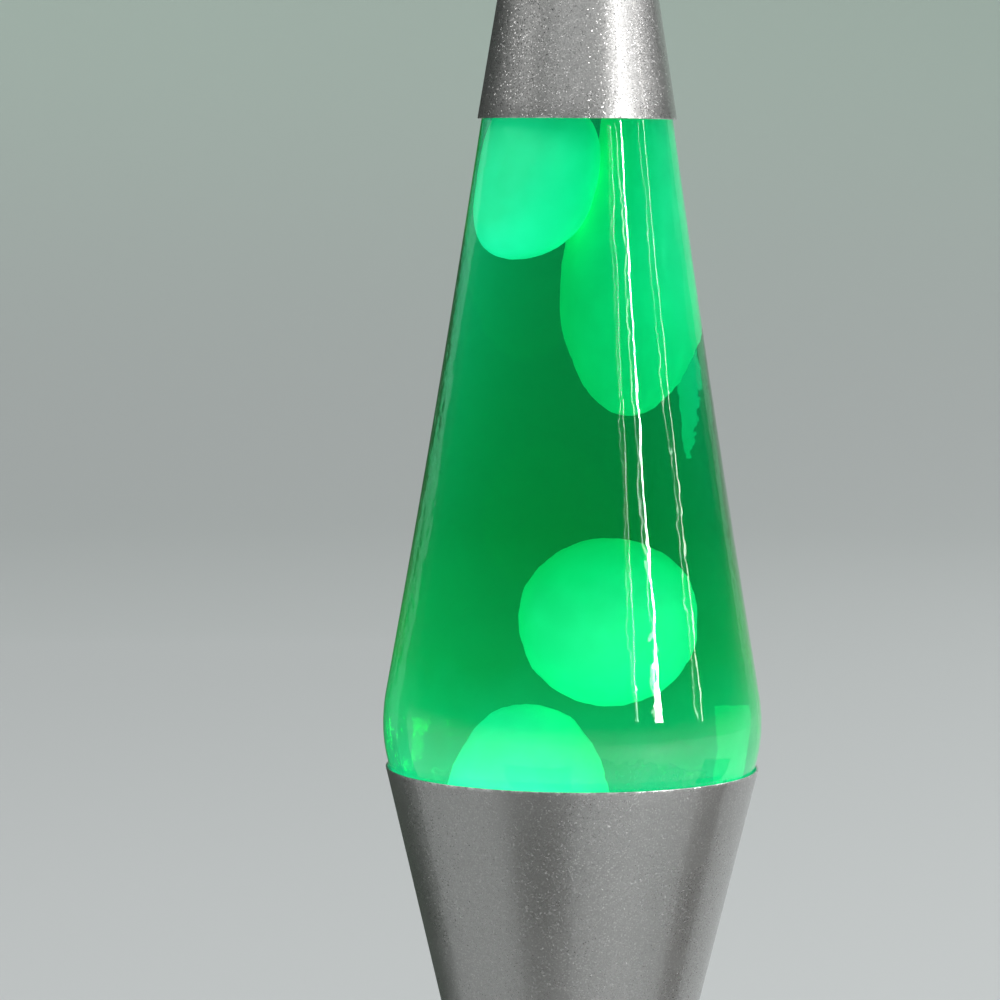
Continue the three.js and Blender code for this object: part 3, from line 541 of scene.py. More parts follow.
def make_height_group():
    """How far up a point is between two heights, in mm, with a cloudy variation."""
    group, given, result = new_group(
        "height in the bottle",
        [("Low", 150.0), ("High", 300.0), ("Cloudiness", 0.05)],
        [("Share", "NodeSocketFloat")],
    )
    place = object_place(group)
    in_mm = calculate(group, "MULTIPLY", height_above_floor(group, place), 1 / MM)
    span = calculate(group, "SUBTRACT", given["High"], given["Low"])
    above = calculate(group, "SUBTRACT", in_mm, given["Low"])
    share = calculate(group, "DIVIDE", above, span)
    clouds = cloudy_noise(group, place, 0.09 / MM, 3.0, 0.55)
    centred = calculate(group, "SUBTRACT", clouds, 0.5)
    varied = calculate(group, "MULTIPLY_ADD", centred, given["Cloudiness"], share)
    clamped = add_node(group, "ShaderNodeClamp", {"Value": varied}).outputs[0]
    group.links.new(clamped, result["Share"])
    return group


flakes = make_flake_group()
smudges = make_smudge_group()
rim_wear = make_rim_wear_group()
turning_lines = make_turning_group()
moulded_grain = make_grain_group()
height_in_bottle = make_height_group()


# ---------------------------------------------------------------- materials

def new_material(name):
    """A material with an empty tree, its Principled shader and its output."""
    material = bpy.data.materials.new(name)
    material.use_nodes = True
    tree = material.node_tree
    tree.nodes.clear()
    shader = add_node(tree, "ShaderNodeBsdfPrincipled")
    output = add_node(tree, "ShaderNodeOutputMaterial", {"Surface": shader.outputs[0]})
    return material, tree, shader, output


def set_inputs(tree, shader, **values):
    """Sets or links the shader's sockets. An underscore in a name stands for a space."""
    for name, value in values.items():
        socket = shader.inputs[name.replace("_", " ")]
        if isinstance(value, bpy.types.NodeSocket):
            tree.links.new(value, socket)
        else:
            socket.default_value = value


def bump(tree, height, strength, distance, normal=None):
    """A normal bent by a height, over a distance in mm."""
    inputs = {"Height": height, "Strength": strength, "Distance": distance * MM}
    if normal:
        inputs["Normal"] = normal
    return add_node(tree, "ShaderNodeBump", inputs).outputs["Normal"]


def make_silver_paint():
    """Silver paint full of metal flakes, under a thin clear coat, worn at the rims."""
    material, tree, shader, _ = new_material("silver flake paint")
    flake = use_group(tree, flakes, flake_size=0.20, lean=0.09, loose_flakes=0.14, loose_lean=0.5)
    patches = use_group(tree, smudges, patch_size=26, cover=0.4)["Mask"]
    worn = None
    for edge in (cap.bottom, cap.top, cup.top, cup.bottom, foot.bottom):
        mask = use_group(tree, rim_wear, edge_height=edge, width=0.9)["Mask"]
        worn = mask if worn is None else calculate(tree, "MAXIMUM", worn, mask)
    paint = colour_ramp(tree, flake["Sparkle"], [
        (0.0, (0.35, 0.343, 0.336)),
        (0.6, (0.39, 0.383, 0.375)),
        (1.0, (0.42, 0.413, 0.405)),
    ])
    shining = calculate(tree, "MULTIPLY", flake["Loose"], flake["Sparkle"])
    speckled = mix_colours(tree, shining, paint, (0.56, 0.55, 0.535, 1))
    colour = mix_colours(tree, worn, speckled, (0.80, 0.79, 0.77, 1))
    roughness = scaled_share(tree, flake["Loose"], 0.0, 1.0, 0.37, 0.26)
    roughness = calculate(tree, "MULTIPLY_ADD", patches, 0.05, roughness)
    roughness = calculate(tree, "MULTIPLY_ADD", worn, -0.1, roughness)
    orange_peel = cloudy_noise(tree, object_place(tree), 0.55 / MM, 2.0)
    normal = bump(tree, orange_peel, 0.05, 0.25, flake["Normal"])
    set_inputs(
        tree,
        shader,
        Base_Color=colour,
        Metallic=0.92,
        Roughness=roughness,
        Normal=normal,
        Coat_Weight=0.55,
        Coat_Roughness=0.07,
    )
    return material


def make_bottle_glass():
    """Clear blown glass, with slow ripples left by its mould."""
    material, tree, shader, _ = new_material("clear bottle glass")
    place = object_place(tree)
    tall = vector_math(tree, "MULTIPLY", {0: place, 1: (1.0, 1.0, 0.32)}).outputs[0]
    ripples = cloudy_noise(tree, tall, 0.085 / MM, 2.0)
    fine = cloudy_noise(tree, place, 0.30 / MM, 1.0)
    patches = use_group(tree, smudges, patch_size=18, cover=0.25)["Mask"]
    height = calculate(tree, "MULTIPLY_ADD", fine, 0.16, ripples)
    roughness = scaled_share(tree, patches, 0.0, 1.0, 0.0, 0.03)
    set_inputs(
        tree,
        shader,
        Base_Color=(0.985, 1.0, 0.99, 1),
        Metallic=0.0,
        Roughness=roughness,
        IOR=1.5,
        Transmission_Weight=1.0,
        Normal=bump(tree, height, 0.35, 0.5),
    )
    return material


def make_green_liquid():
    """Dyed liquid that takes the red out of light, with a painted glow that stands in for the bulb's light,
    brightest low down over the bulb.
    """
    material, tree, shader, output = new_material("green liquid")
    share = use_group(tree, height_in_bottle, low=PAINTED_GLOW_BOTTOM, high=PAINTED_GLOW_TOP, cloudiness=0.06)["Share"]
    # Painted glow: emission colour by height, brightest near the bulb below and fading upwards.
    glow = colour_ramp(tree, share, [
        (0.0, (0.02, 0.62, 0.30)),
        (0.09, (0.006, 0.47, 0.22)),
        (0.16, (0.002, 0.27, 0.11)),
        (0.25, (0.001, 0.15, 0.05)),
        (0.42, (0.0, 0.05, 0.016)),
        (1.0, (0.0, 0.02, 0.008)),
    ])
    set_inputs(
        tree,
        shader,
        Base_Color=(0.98, 1.0, 0.99, 1),
        Metallic=0.0,
        Roughness=0.0,
        IOR=1.33,
        Specular_Tint=(0.0, 0.0, 0.0, 1),
        Transmission_Weight=1.0,
        Emission_Color=glow,
        Emission_Strength=1.0,
    )
    absorption = add_node(
        tree,
        "ShaderNodeVolumeAbsorption",
        {"Color": (0.06, 0.907, 0.75, 1), "Density": 188.0},
    )
    tree.links.new(absorption.outputs[0], output.inputs["Volume"])
    return material


def make_wax(name, painted_glow_level):
    """Warm wax whose light from the bulb below is painted in as a glow: nearly white at the bottom, greener
    higher up.
    """
    material, tree, shader, _ = new_material(name)
    share = use_group(tree, height_in_bottle, low=PAINTED_GLOW_BOTTOM, high=PAINTED_GLOW_TOP, cloudiness=0.10)["Share"]
    # Painted glow colour by height: paler and brighter near the bulb, greener higher up.
    lit = colour_ramp(tree, share, [
        (0.0, (0.85, 1.0, 0.80)),
        (0.10, (0.62, 1.0, 0.72)),
        (0.20, (0.28, 1.0, 0.58)),
        (0.36, (0.02, 0.93, 0.36)),
        (0.70, (0.005, 0.82, 0.33)),
        (0.88, (0.0, 0.78, 0.33)),
        (1.0, (0.0, 0.54, 0.20)),
    ])
    facing = add_node(tree, "ShaderNodeSeparateXYZ", {
        "Vector": add_node(tree, "ShaderNodeNewGeometry").outputs["Normal"],
    }).outputs["Z"]
    # Painted light from below: faces turned down to the bulb glow brighter than faces turned up.
    painted_light_from_below = scaled_share(tree, facing, 0.9, -0.9, 0.80 * painted_glow_level, 1.12 * painted_glow_level)
    clouds = cloudy_noise(tree, object_place(tree), 0.11 / MM, 4.0, 0.6)
    mottled = scaled_share(tree, clouds, 0.3, 0.75, 0.93, 1.07)
    strength = calculate(tree, "MULTIPLY", painted_light_from_below, mottled)
    glow = add_node(tree, "ShaderNodeMix", data_type="RGBA", blend_type="MULTIPLY")
    glow_inputs = [s for s in glow.inputs if s.enabled]
    # Painted light from below: faces turned down get a paler glow colour.
    from_below = scaled_share(tree, facing, 0.1, -0.9, 0.0, 0.6)
    lit = mix_colours(tree, from_below, lit, (0.06, 1.0, 0.62, 1))
    grey = add_node(tree, "ShaderNodeCombineColor", {0: strength, 1: strength, 2: strength})
    glow_inputs[0].default_value = 1.0
    tree.links.new(lit, glow_inputs[1])
    tree.links.new(grey.outputs[0], glow_inputs[2])
    glow_colour = next(s for s in glow.outputs if s.enabled)
    set_inputs(
        tree,
        shader,
        Base_Color=mix_colours(tree, clouds, (0.10, 0.55, 0.28, 1), (0.18, 0.70, 0.40, 1)),
        Roughness=scaled_share(tree, clouds, 0.2, 0.8, 0.28, 0.42),
        Emission_Color=glow_colour,
        Emission_Strength=1.0,
        Normal=bump(tree, clouds, 0.08, 0.6),
    )
    return material


def make_metal(name, colour, dark, roughness, spacing, patch_size):
    """Turned or pressed metal, with fine rings, smudges and a duller tone in places."""
    material, tree, shader, _ = new_material(name)
    lines = use_group(tree, turning_lines, spacing=spacing, scratches=0.4)
    patches = use_group(tree, smudges, patch_size=patch_size, cover=0.5)["Mask"]
    ring_tone = scaled_share(tree, lines["Tone"], 0.3, 0.7, 0.0, 0.3)
    tone = calculate(tree, "MULTIPLY_ADD", patches, 0.6, ring_tone)
    varied = calculate(tree, "MULTIPLY_ADD", patches, 0.12, roughness)
    set_inputs(
        tree,
        shader,
        Base_Color=mix_colours(tree, tone, (*colour, 1), (*dark, 1)),
        Metallic=1.0,
        Roughness=varied,
        Normal=bump(tree, lines["Height"], 0.25, 0.06),
    )
    return material


def make_moulded(name, colour, dusty, roughness, grain_size, depth, dust):
    """Moulded plastic or rubber, with its grain and a little dust."""
    material, tree, shader, _ = new_material(name)
    grain = use_group(tree, moulded_grain, grain_size=grain_size, dust=dust)
    varied = calculate(tree, "MULTIPLY_ADD", grain["Dust Mask"], 0.2, roughness)
    set_inputs(
        tree,
        shader,
        Base_Color=mix_colours(tree, grain["Dust Mask"], (*colour, 1), (*dusty, 1)),
        Roughness=varied,
        Normal=bump(tree, grain["Height"], 0.5, depth),
    )
    return material


def make_bulb_glass():
    """Thin clear glass of the bulb, with a faint smoky bloom."""
    material, tree, shader, _ = new_material("thin bulb glass")
    patches = use_group(tree, smudges, patch_size=9, cover=0.4)["Mask"]
    place = object_place(tree)
    waves = cloudy_noise(tree, place, 0.14 / MM, 1.0)
    set_inputs(
        tree,
        shader,
        Base_Color=(0.99, 0.985, 0.97, 1),
        Metallic=0.0,
        Roughness=scaled_share(tree, patches, 0.0, 1.0, 0.0, 0.06),
        IOR=1.47,
        Transmission_Weight=1.0,
        Normal=bump(tree, waves, 0.2, 0.4),
    )
    return material


def make_filament():
    """Tungsten coil that glows warm."""
    material, tree, shader, _ = new_material("glowing filament")
    place = object_place(tree)
    hot = cloudy_noise(tree, place, 0.5 / MM, 2.0)
    set_inputs(
        tree,
        shader,
        Base_Color=(0.35, 0.30, 0.26, 1),
        Metallic=1.0,
        Roughness=0.5,
        Emission_Color=mix_colours(tree, hot, (1.0, 0.48, 0.16, 1), (1.0, 0.78, 0.42, 1)),
        Emission_Strength=14.0,
    )
    return material


silver_paint = make_silver_paint()
bottle_glass_finish = make_bottle_glass()
green_liquid = make_green_liquid()
wax = make_wax("warm green wax", 1.0)
# Painted shade: a copy of the wax with its painted glow turned down, for the long drop.
wax_with_dimmer_painted_glow = make_wax("green wax with dimmer painted glow", 0.84)
thin_glass = make_bulb_glass()
filament_glow = make_filament()
closure_steel = make_metal("crimped steel", (0.66, 0.66, 0.65), (0.42, 0.42, 0.41), 0.28, 0.25, 7)
zinc_steel = make_metal("zinc plated steel", (0.60, 0.61, 0.62), (0.38, 0.38, 0.37), 0.34, 0.3, 8)
spring_steel = make_metal("spring wire", (0.48, 0.48, 0.47), (0.25, 0.25, 0.24), 0.38, 0.5, 5)
brass = make_metal("pressed brass", (0.78, 0.58, 0.27), (0.46, 0.30, 0.13), 0.30, 0.25, 6)
black_plastic = make_moulded(
    "black moulded plastic", (0.022, 0.022, 0.023), (0.10, 0.10, 0.095), 0.46, 0.35, 0.05, 0.35
)
black_rubber = make_moulded(
    "black rubber", (0.016, 0.016, 0.016), (0.13, 0.125, 0.12), 0.72, 0.55, 0.09, 0.5
)
white_liner = make_moulded(
    "white liner plastic", (0.74, 0.73, 0.70), (0.60, 0.58, 0.53), 0.5, 0.6, 0.05, 0.4
)


# ---------------------------------------------------------------- spun shells

def make_cap():
    """Open cone with a rounded top edge and a shallow ring from spinning."""
    inner_top = cap_top_radius - SHELL_WALL
    ring = cap_top_radius * 0.62
    outline = rounded([
        (cap.radius - SHELL_WALL, cap.bottom, 0.25),
        (cap.radius, cap.bottom, 0.25),
        (cap_top_radius, cap.top, CAP_EDGE_ROUND),
        (ring + 0.5, cap.top, 0.3),
        (ring, cap.top - 0.25, 0.3),
        (ring - 0.5, cap.top, 0.3),
        (0, cap.top, 0),
        (0, cap.top - FLOOR_PLATE, 0),
        (inner_top, cap.top - FLOOR_PLATE, 0.9),
    ])
    add_turned("cap_spun", filled_in(outline, 4), LARGE_SIDES,
               "cap", silver_paint, "silver_paint", "cap_shell")


def make_base_cup():
    """Upper cone of the base, with a floor plate that the holder passes through."""
    outline = rounded([
        (HOLE_IN_PLATES, cup.bottom, 0.2),
        (WAIST_RADIUS, cup.bottom, 0.45),
        (cup.radius, cup.top, 0.25),
        (cup.radius - SHELL_WALL, cup.top, 0.25),
        (WAIST_RADIUS - SHELL_WALL, cup.bottom + FLOOR_PLATE, 0.9),
        (HOLE_IN_PLATES, cup.bottom + FLOOR_PLATE, 0.2),
    ])
    add_turned("base_cup_spun", filled_in(outline, 4), LARGE_SIDES,
               "base", silver_paint, "silver_paint", "base_cup")


hem_top = foot.bottom + HEM_HEIGHT
skirt_slope = (foot.radius - WAIST_RADIUS) / (foot.top - hem_top)
skirt_angle = math.atan(skirt_slope)
inlet_radius = foot.radius - skirt_slope * (INLET_HEIGHT - hem_top)


def place_at_inlet(mesh):
    """Turns a mesh made about the lamp's axis to lie on the cord inlet's own axis."""
    out = Vector((0, math.cos(skirt_angle), math.sin(skirt_angle)))
    turn = Vector((0, 0, 1)).rotation_difference(out).to_matrix().to_4x4()
    middle = Vector((0, inlet_radius - SHELL_WALL / 2, INLET_HEIGHT)) * MM
    mesh.transform(Matrix.Translation(middle) @ turn)
    return mesh


def make_base_foot():
    """Lower cone with a rolled hem and the hole for the cord's grommet."""
    outline = rounded([
        (foot.radius - SHELL_WALL, foot.bottom, 0.3),
        (foot.radius, foot.bottom, 0.3),
        (foot.radius, hem_top, 0.8),
        (foot.radius - 0.45, hem_top + 0.35, 0.35),
        (WAIST_RADIUS, foot.top, 0.45),
        (HOLE_IN_PLATES, foot.top, 0.2),
        (HOLE_IN_PLATES, foot.top - FLOOR_PLATE, 0.2),
        (WAIST_RADIUS - SHELL_WALL, foot.top - FLOOR_PLATE, 0.9),
        (foot.radius - SHELL_WALL - 0.35, hem_top + 0.2, 0.4),
        (foot.radius - SHELL_WALL, hem_top - 0.6, 0.4),
    ])
    shell = turned("base_foot_spun", filled_in(outline, 3), LARGE_SIDES)
    drill_outline = [(0, -5), (INLET_HOLE_RADIUS, -5), (INLET_HOLE_RADIUS, 5), (0, 5)]
    drill = place_at_inlet(turned("drill", drill_outline, SMALL_SIDES))
    add_piece("base_foot_spun", cut_away(shell, [drill]), "base", silver_paint, "silver_paint", "base_foot")


def make_grommet():
    """Rubber ring with a groove that holds it in the foot's wall."""
    groove = INLET_HOLE_RADIUS - 0.3
    outline = rounded([
        (GROMMET_BORE, -GROMMET_FACE_HALF, 0.5),
        (GROMMET_FLANGE_RADIUS, -GROMMET_FACE_HALF, 0.4),
        (GROMMET_FLANGE_RADIUS, -GROMMET_GROOVE_HALF, 0.25),
        (groove, -GROMMET_GROOVE_HALF, 0.1),
        (groove, GROMMET_GROOVE_HALF, 0.1),
        (GROMMET_FLANGE_RADIUS, GROMMET_GROOVE_HALF, 0.25),
        (GROMMET_FLANGE_RADIUS, GROMMET_FACE_HALF, 0.7),
        (GROMMET_BORE, GROMMET_FACE_HALF, 0.7),
    ])
    ring = place_at_inlet(turned("cord_grommet_ring", outline, SMALL_SIDES))
    add_piece("cord_grommet_ring", ring, "base", black_rubber, "rubber", "cord_grommet")


# ---------------------------------------------------------------- bottle, closure and liquid

neck_start_height = cap.bottom + SIDE_INTO_CAP
neck_curve_centre = (
    side_radius(neck_start_height) - NECK_SHOULDER_CURVE * math.cos(taper_angle),
    neck_start_height - NECK_SHOULDER_CURVE * math.sin(taper_angle),
)
neck_fillet_centre = (
    neck_curve_centre[0] + (NECK_SHOULDER_CURVE + NECK_FILLET) * math.cos(NECK_SHOULDER_TURN),
    neck_curve_centre[1] + (NECK_SHOULDER_CURVE + NECK_FILLET) * math.sin(NECK_SHOULDER_TURN),
)
neck_radius = neck_fillet_centre[0] - NECK_FILLET
inner_heel_reach = HEEL_CURVE - GLASS_WALL - INNER_HEEL_EDGE
inner_edge_centre = (
    heel_centre + inner_heel_reach * math.cos(INNER_HEEL_TURN),
    widest_height - inner_heel_reach * math.sin(INNER_HEEL_TURN),
)
inner_floor = inner_edge_centre[1] - INNER_HEEL_EDGE


def inner_wall(inset, bottom, level, steps=24):
    """Inside of the bottle, from its middle at the floor up to a height on the long side."""
    offset = GLASS_WALL + inset
    edge = INNER_HEEL_EDGE - inset
    outline = [(0, bottom)]
    outline += arc(*inner_edge_centre, edge, -math.pi / 2, -INNER_HEEL_TURN, 8)
    outline += arc(heel_centre, widest_height, HEEL_CURVE - offset, -INNER_HEEL_TURN, 0, 20)[1:]
    outline += arc(shoulder_centre, widest_height, SHOULDER_CURVE - offset, 0, taper_angle, 6)[1:]
    for i in range(1, steps + 1):
        height = side_start_height + (level - side_start_height) * i / steps
        outline.append((side_radius(height) - offset / math.cos(taper_angle), height))
    return outline


def radius_on(outline, height):
    """Radius of a wall's outline at a height, between its two nearest points."""
    for (r0, z0), (r1, z1) in zip(outline, outline[1:]):
        if z0 <= height <= z1 and z1 > z0:
            return r0 + (r1 - r0) * (height - z0) / (z1 - z0)
    return outline[-1][0] if height > outline[-1][1] else outline[1][0]


def make_bottle():
    """Blown bottle with a pushed-in floor and a ringed neck."""
    heel_reach = HEEL_CURVE - HEEL_EDGE
    edge_centre = (
        heel_centre + heel_reach * math.cos(HEEL_TURN),
        widest_height - heel_reach * math.sin(HEEL_TURN),
    )
    under = edge_centre[1] - HEEL_EDGE
    punt_radius = edge_centre[0] - PUNT_INSET
    punt_top = 1.8
    outside = []
    for i in range(9):
        share = i / 8
        outside.append((punt_radius * share, under + punt_top * (1 - share ** 3)))
    outside += arc(*edge_centre, HEEL_EDGE, -math.pi / 2, -HEEL_TURN, 10)
    outside += arc(heel_centre, widest_height, HEEL_CURVE, -HEEL_TURN, 0, 22)[1:]
    outside += arc(shoulder_centre, widest_height, SHOULDER_CURVE, 0, taper_angle, 8)[1:]
    steps = 24
    for i in range(1, steps + 1):
        height = side_start_height + (neck_start_height - side_start_height) * i / steps
        outside.append((side_radius(height), height))
    outside += arc(*neck_curve_centre, NECK_SHOULDER_CURVE, taper_angle, NECK_SHOULDER_TURN, 12)[1:]
    fillet_start = NECK_SHOULDER_TURN + math.pi
    outside += arc(*neck_fillet_centre, NECK_FILLET, fillet_start, math.pi, 6)[1:]
    ring_under = bottle.top - NECK_RING_HEIGHT
    ring_radius = neck_radius + NECK_RING_PROUD
    outside += [(neck_radius, ring_under - NECK_RING_PROUD)]
    outside += arc(ring_radius - 0.8, ring_under + 0.8, 0.8, -math.pi / 4, 0, 3)
    outside += arc(ring_radius - 1.2, bottle.top - 1.2, 1.2, 0, math.pi / 2, 6)
    inner_side_top = neck_curve_centre[1] + (NECK_SHOULDER_CURVE - GLASS_WALL) * math.sin(taper_angle)
    inside = inner_wall(0, inner_floor, inner_side_top)[:-1]
    inside += arc(*neck_curve_centre, NECK_SHOULDER_CURVE - GLASS_WALL, taper_angle, NECK_SHOULDER_TURN, 8)
    inside += arc(*neck_fillet_centre, NECK_FILLET + GLASS_WALL, fillet_start, math.pi, 8)[1:]
    bore = neck_radius - GLASS_WALL
    inside += arc(bore + 0.8, bottle.top - 0.8, 0.8, math.pi, math.pi / 2, 4)
    mesh = turned("bottle_blown", outside + inside[::-1], LARGE_SIDES)
    add_piece("bottle_blown", mesh, "globe", bottle_glass_finish, "bottle_glass", "glass_bottle")


def make_closure():
    """Pressed steel cap whose skirt is crimped into flutes round the neck's ring."""
    wall = 0.5
    flutes = 21
    crimp_depth = 0.4
    bore = closure.radius - 2 * wall
    flute_top = closure.top - 2.2

    def crimp(radius, height, angle):
        down = min(1, max(0, (flute_top - height) / (flute_top - closure.bottom)))
        if radius < bore - 0.2:
            return radius, height
        return radius - crimp_depth * down * (0.5 - 0.5 * math.cos(flutes * angle)), height

    outline = rounded([
        (bore + 0.35, closure.bottom, 0.1),
        (closure.radius, closure.bottom, 0.2),
        (closure.radius - wall, closure.top, 1.0),
        (closure.radius * 0.72, closure.top, 0.3),
        (closure.radius * 0.68, closure.top - 0.2, 0.3),
        (0, closure.top - 0.2, 0),
        (0, closure.top - 0.5, 0),
        (bore, closure.top - 0.5, 0.6),
        (bore + 0.1, closure.bottom + 1.2, 0.3),
    ])
    mesh = turned("closure_crimped", filled_in(outline, 0.6), LARGE_SIDES + 18, crimp)
    add_piece("closure_crimped", mesh, "globe", closure_steel, "closure_steel", "bottle_closure")


def make_liner():
    """Soft disc that seals the bottle's mouth."""
    outline = rounded([
        (0, liner.bottom, 0),
        (liner.radius, liner.bottom, 0.3),
        (liner.radius, liner.top, 0.3),
        (0, liner.top, 0),
    ])
    add_turned("liner_disc", outline, MEDIUM_SIDES,
               "globe", white_liner, "liner_plastic", "closure_liner")


def make_liquid():
    """Liquid that wets the glass all over, with a meniscus round its surface."""
    wall = inner_wall(-LIQUID_OVER_GLASS, inner_floor - LIQUID_OVER_GLASS, liquid.top)
    edge_radius = wall[-1][0]
    surface = []
    for i in range(9):
        in_from_edge = 3.0 * i / 8
        lift = MENISCUS * (1 - i / 8) ** 3
        surface.append((edge_radius - in_from_edge, liquid.top - MENISCUS + lift))
    mesh = turned("liquid_body", wall[:-1] + surface + [(0, liquid.top - MENISCUS)], LARGE_SIDES)
    add_piece("liquid_body", mesh, "globe", green_liquid, "liquid", "liquid_fill")


# ---------------------------------------------------------------- wax

def egg_radius(share, radius, fullness):
    """Roundness of an egg: 2 is an ellipse, more is fuller."""
    return radius * math.sqrt(max(0, 1 - abs(2 * share - 1) ** fullness))


wax_room = inner_wall(WAX_FILM, inner_floor + 0.3, liquid.top + 3)


def kept_in_bottle(point):
    """Moves a point of wax in from the glass, softly."""
    reach = math.hypot(point.x, point.y)
    limit = radius_on(wax_room, point.z)
    soft = 1.0
    over = reach - (limit - soft)
    if over <= 0 or reach < TINY:
        return point
    kept = limit - soft + soft * (1 - math.exp(-over / soft))
    return Vector((point.x * kept / reach, point.y * kept / reach, point.z))


def wax_body(name, shape, rings=64, sides=96):
    """A body of wax round a leaning line, with slow swells on its surface."""
    build = bmesh.new()
    bottom, top = shape["bottom"], shape["top"]
    unevenness = shape.get("unevenness", 0.35)

    def place(share, angle):
        height = bottom + (top - bottom) * share
        lean = shape["lean_at"](share)
        radius = shape["radius_at"](share)
        point = Vector((
            shape["x"] + lean + radius * math.cos(angle),
            shape["y"] + radius * math.sin(angle),
            height,
        ))
        centre = Vector((shape["x"] + lean, shape["y"], (bottom + top) / 2))
        swell = noise.noise(point * 0.07 + Vector((shape["seed"], 0, 0)))
        swell += 0.35 * noise.noise(point * 0.17 + Vector((0, shape["seed"], 0)))
        out = (point - centre).normalized()
        point += Vector((out.x, out.y, out.z * 0.4)) * swell * unevenness
        for dent in shape.get("dents", ()):
            near = math.exp(-(point - Vector(dent["at"])).length_squared / dent["width"] ** 2)
            point -= out * dent["depth"] * near
        point.z = max(point.z, inner_floor + 0.3)
        point.z = min(point.z, top)
        return kept_in_bottle(point) * MM

    low = build.verts.new(place(0, 0))
    high = build.verts.new(place(1, 0))
    grid = []
    for i in range(1, rings):
        share = (1 - math.cos(math.pi * i / rings)) / 2
        grid.append([build.verts.new(place(share, 2 * math.pi * k / sides)) for k in range(sides)])
    for k in range(sides):
        after = (k + 1) % sides
        build.faces.new((low, grid[0][after], grid[0][k]))
        build.faces.new((high, grid[-1][k], grid[-1][after]))
        for below, above in zip(grid, grid[1:]):
            build.faces.new((below[k], below[after], above[after], above[k]))
    return mesh_from(name, build)


def smooth_step(share):
    """Eases a share in and out, and keeps it from 0 to 1."""
    share = min(1, max(0, share))
    return share * share * (3 - 2 * share)


def hanging_radius(share):
    """Radius of the long drop: a pointed egg below, and a narrower stalk up to the surface."""
    bulb, stalk = 12.4, 7.6
    widest, stalk_start, stalk_end, top_round = 0.36, 0.45, 0.9, 0.9
    if share < widest:
        return bulb * math.sqrt(max(0, 1 - ((widest - share) / widest) ** 1.7))
    radius = bulb - (bulb - stalk) * smooth_step((share - stalk_start) / (stalk_end - stalk_start))
    return radius * math.sqrt(max(0, 1 - max(0, (share - top_round) / (1 - top_round)) ** 2.5))


def mound_radius(share):
    """Radius of the mound, which spreads out on the bottle's floor."""
    dome = 16.5 * math.sqrt(max(0, 1 - share ** 2.4))
    return dome + 9 * (1 - share) ** 6


WAX_SHAPES = {
    "wax_upper_left": {
        "x": -7.0,
        "y": -5,
        "bottom": liquid.top - 37,
        "top": Extent("wax_upper_left").top,
        "lean_at": lambda share: -4.2 * (1 - share) ** 2,
        "radius_at": lambda share: egg_radius(share, 12, 2.6),
        "seed": 3.0,
    },
    "wax_upper_right": {
        "x": 9.0,
        "y": 4,
        "bottom": liquid.top - 73.5,
        "top": Extent("wax_upper_right").top,
        "lean_at": lambda share: 2.6 * share,
        "radius_at": hanging_radius,
        "seed": 11.0,
    },
    "wax_free_blob": {
        "x": 6.6,
        "y": -6,
        "bottom": Extent("wax_free_blob").bottom,
        "top": Extent("wax_free_blob").top,
        "lean_at": lambda share: 0,
        "radius_at": lambda share: egg_radius(share, 16.6, 2.1),
        "seed": 23.0,
    },
    "wax_mound": {
        "x": -8.2,
        "y": -9,
        "bottom": inner_floor,
        "top": Extent("wax_mound").top,
        "lean_at": lambda share: 0,
        "radius_at": mound_radius,
        "seed": 31.0,
        "unevenness": 0.9,
        "dents": (
            {"at": (-15.5, -24, inner_floor + 11), "width": 2.6, "depth": 1.3},
            {"at": (3.5, -21, inner_floor + 13), "width": 2.8, "depth": 1.4},
            {"at": (-17, -15, inner_floor + 20), "width": 2.2, "depth": 1.2},
        ),
    },
}


def make_wax_bodies():
    """The four bodies of wax, each with the moving body that carries it, and its finish."""
    names = {
        "wax_upper_left": ("wax_cap_blob", "globe", wax),
        "wax_upper_right": ("wax_long_drop", "globe", wax_with_dimmer_painted_glow),
        "wax_free_blob": ("wax_free_egg", "free_wax", wax),
        "wax_mound": ("wax_floor_mound", "globe", wax),
    }
    for node, (name, body, finish) in names.items():
        add_piece(name, wax_body(name, WAX_SHAPES[node]), body, finish, "wax", node)


def make_coil():
    """Spring wire wound into a ring on the bottle's floor."""
    wire = 0.42
    turns = 84
    steps_a_turn = 12
    ring_radius = coil.radius - coil.height / 2
    wind_radius = coil.height / 2 - wire
    path = []
    for i in range(turns * steps_a_turn):
        round_lamp = 2 * math.pi * i / (turns * steps_a_turn)
        round_wire = 2 * math.pi * i / steps_a_turn
        radius = ring_radius + wind_radius * math.cos(round_wire)
        path.append((
            radius * math.cos(round_lamp),
            radius * math.sin(round_lamp),
            coil.middle.z + wind_radius * math.sin(round_wire),
        ))
    mesh = tube("coil_wound", path, wire, 8, closed=True)
    add_piece("coil_wound", mesh, "globe", spring_steel, "spring_steel", "wax_coil")


# ---------------------------------------------------------------- bulb

def thread(crest, root, pitch, bottom, top):
    """A warp that turns a plain outside into a round screw thread, faded out at both ends."""
    def warp(radius, height, angle):
        if radius < root - TINY:
            return radius, height
        phase = (height / pitch - angle / (2 * math.pi)) * 2 * math.pi
        fade = min(1, max(0, (height - bottom) / pitch), max(0, (top - height) / pitch))
        ridge = 0.5 + 0.5 * math.sin(phase)
        return radius - (crest - root) * (1 - ridge * fade), height
    return warp


def make_bulb_tip():
    """Contact of solder under the bulb."""
    outline = rounded([
        (0, bulb_tip.bottom, 0),
        (bulb_tip.radius * 0.75, bulb_tip.bottom + 0.1, 0.8),
        (bulb_tip.radius, bulb_tip.top - 0.5, 0.4),
        (bulb_tip.radius, bulb_tip.top, 0.1),
        (0, bulb_tip.top, 0),
    ])
    add_turned("bulb_solder_tip", outline, SMALL_SIDES,
               "bulb_tip", brass, "brass", "bulb_tip_contact")


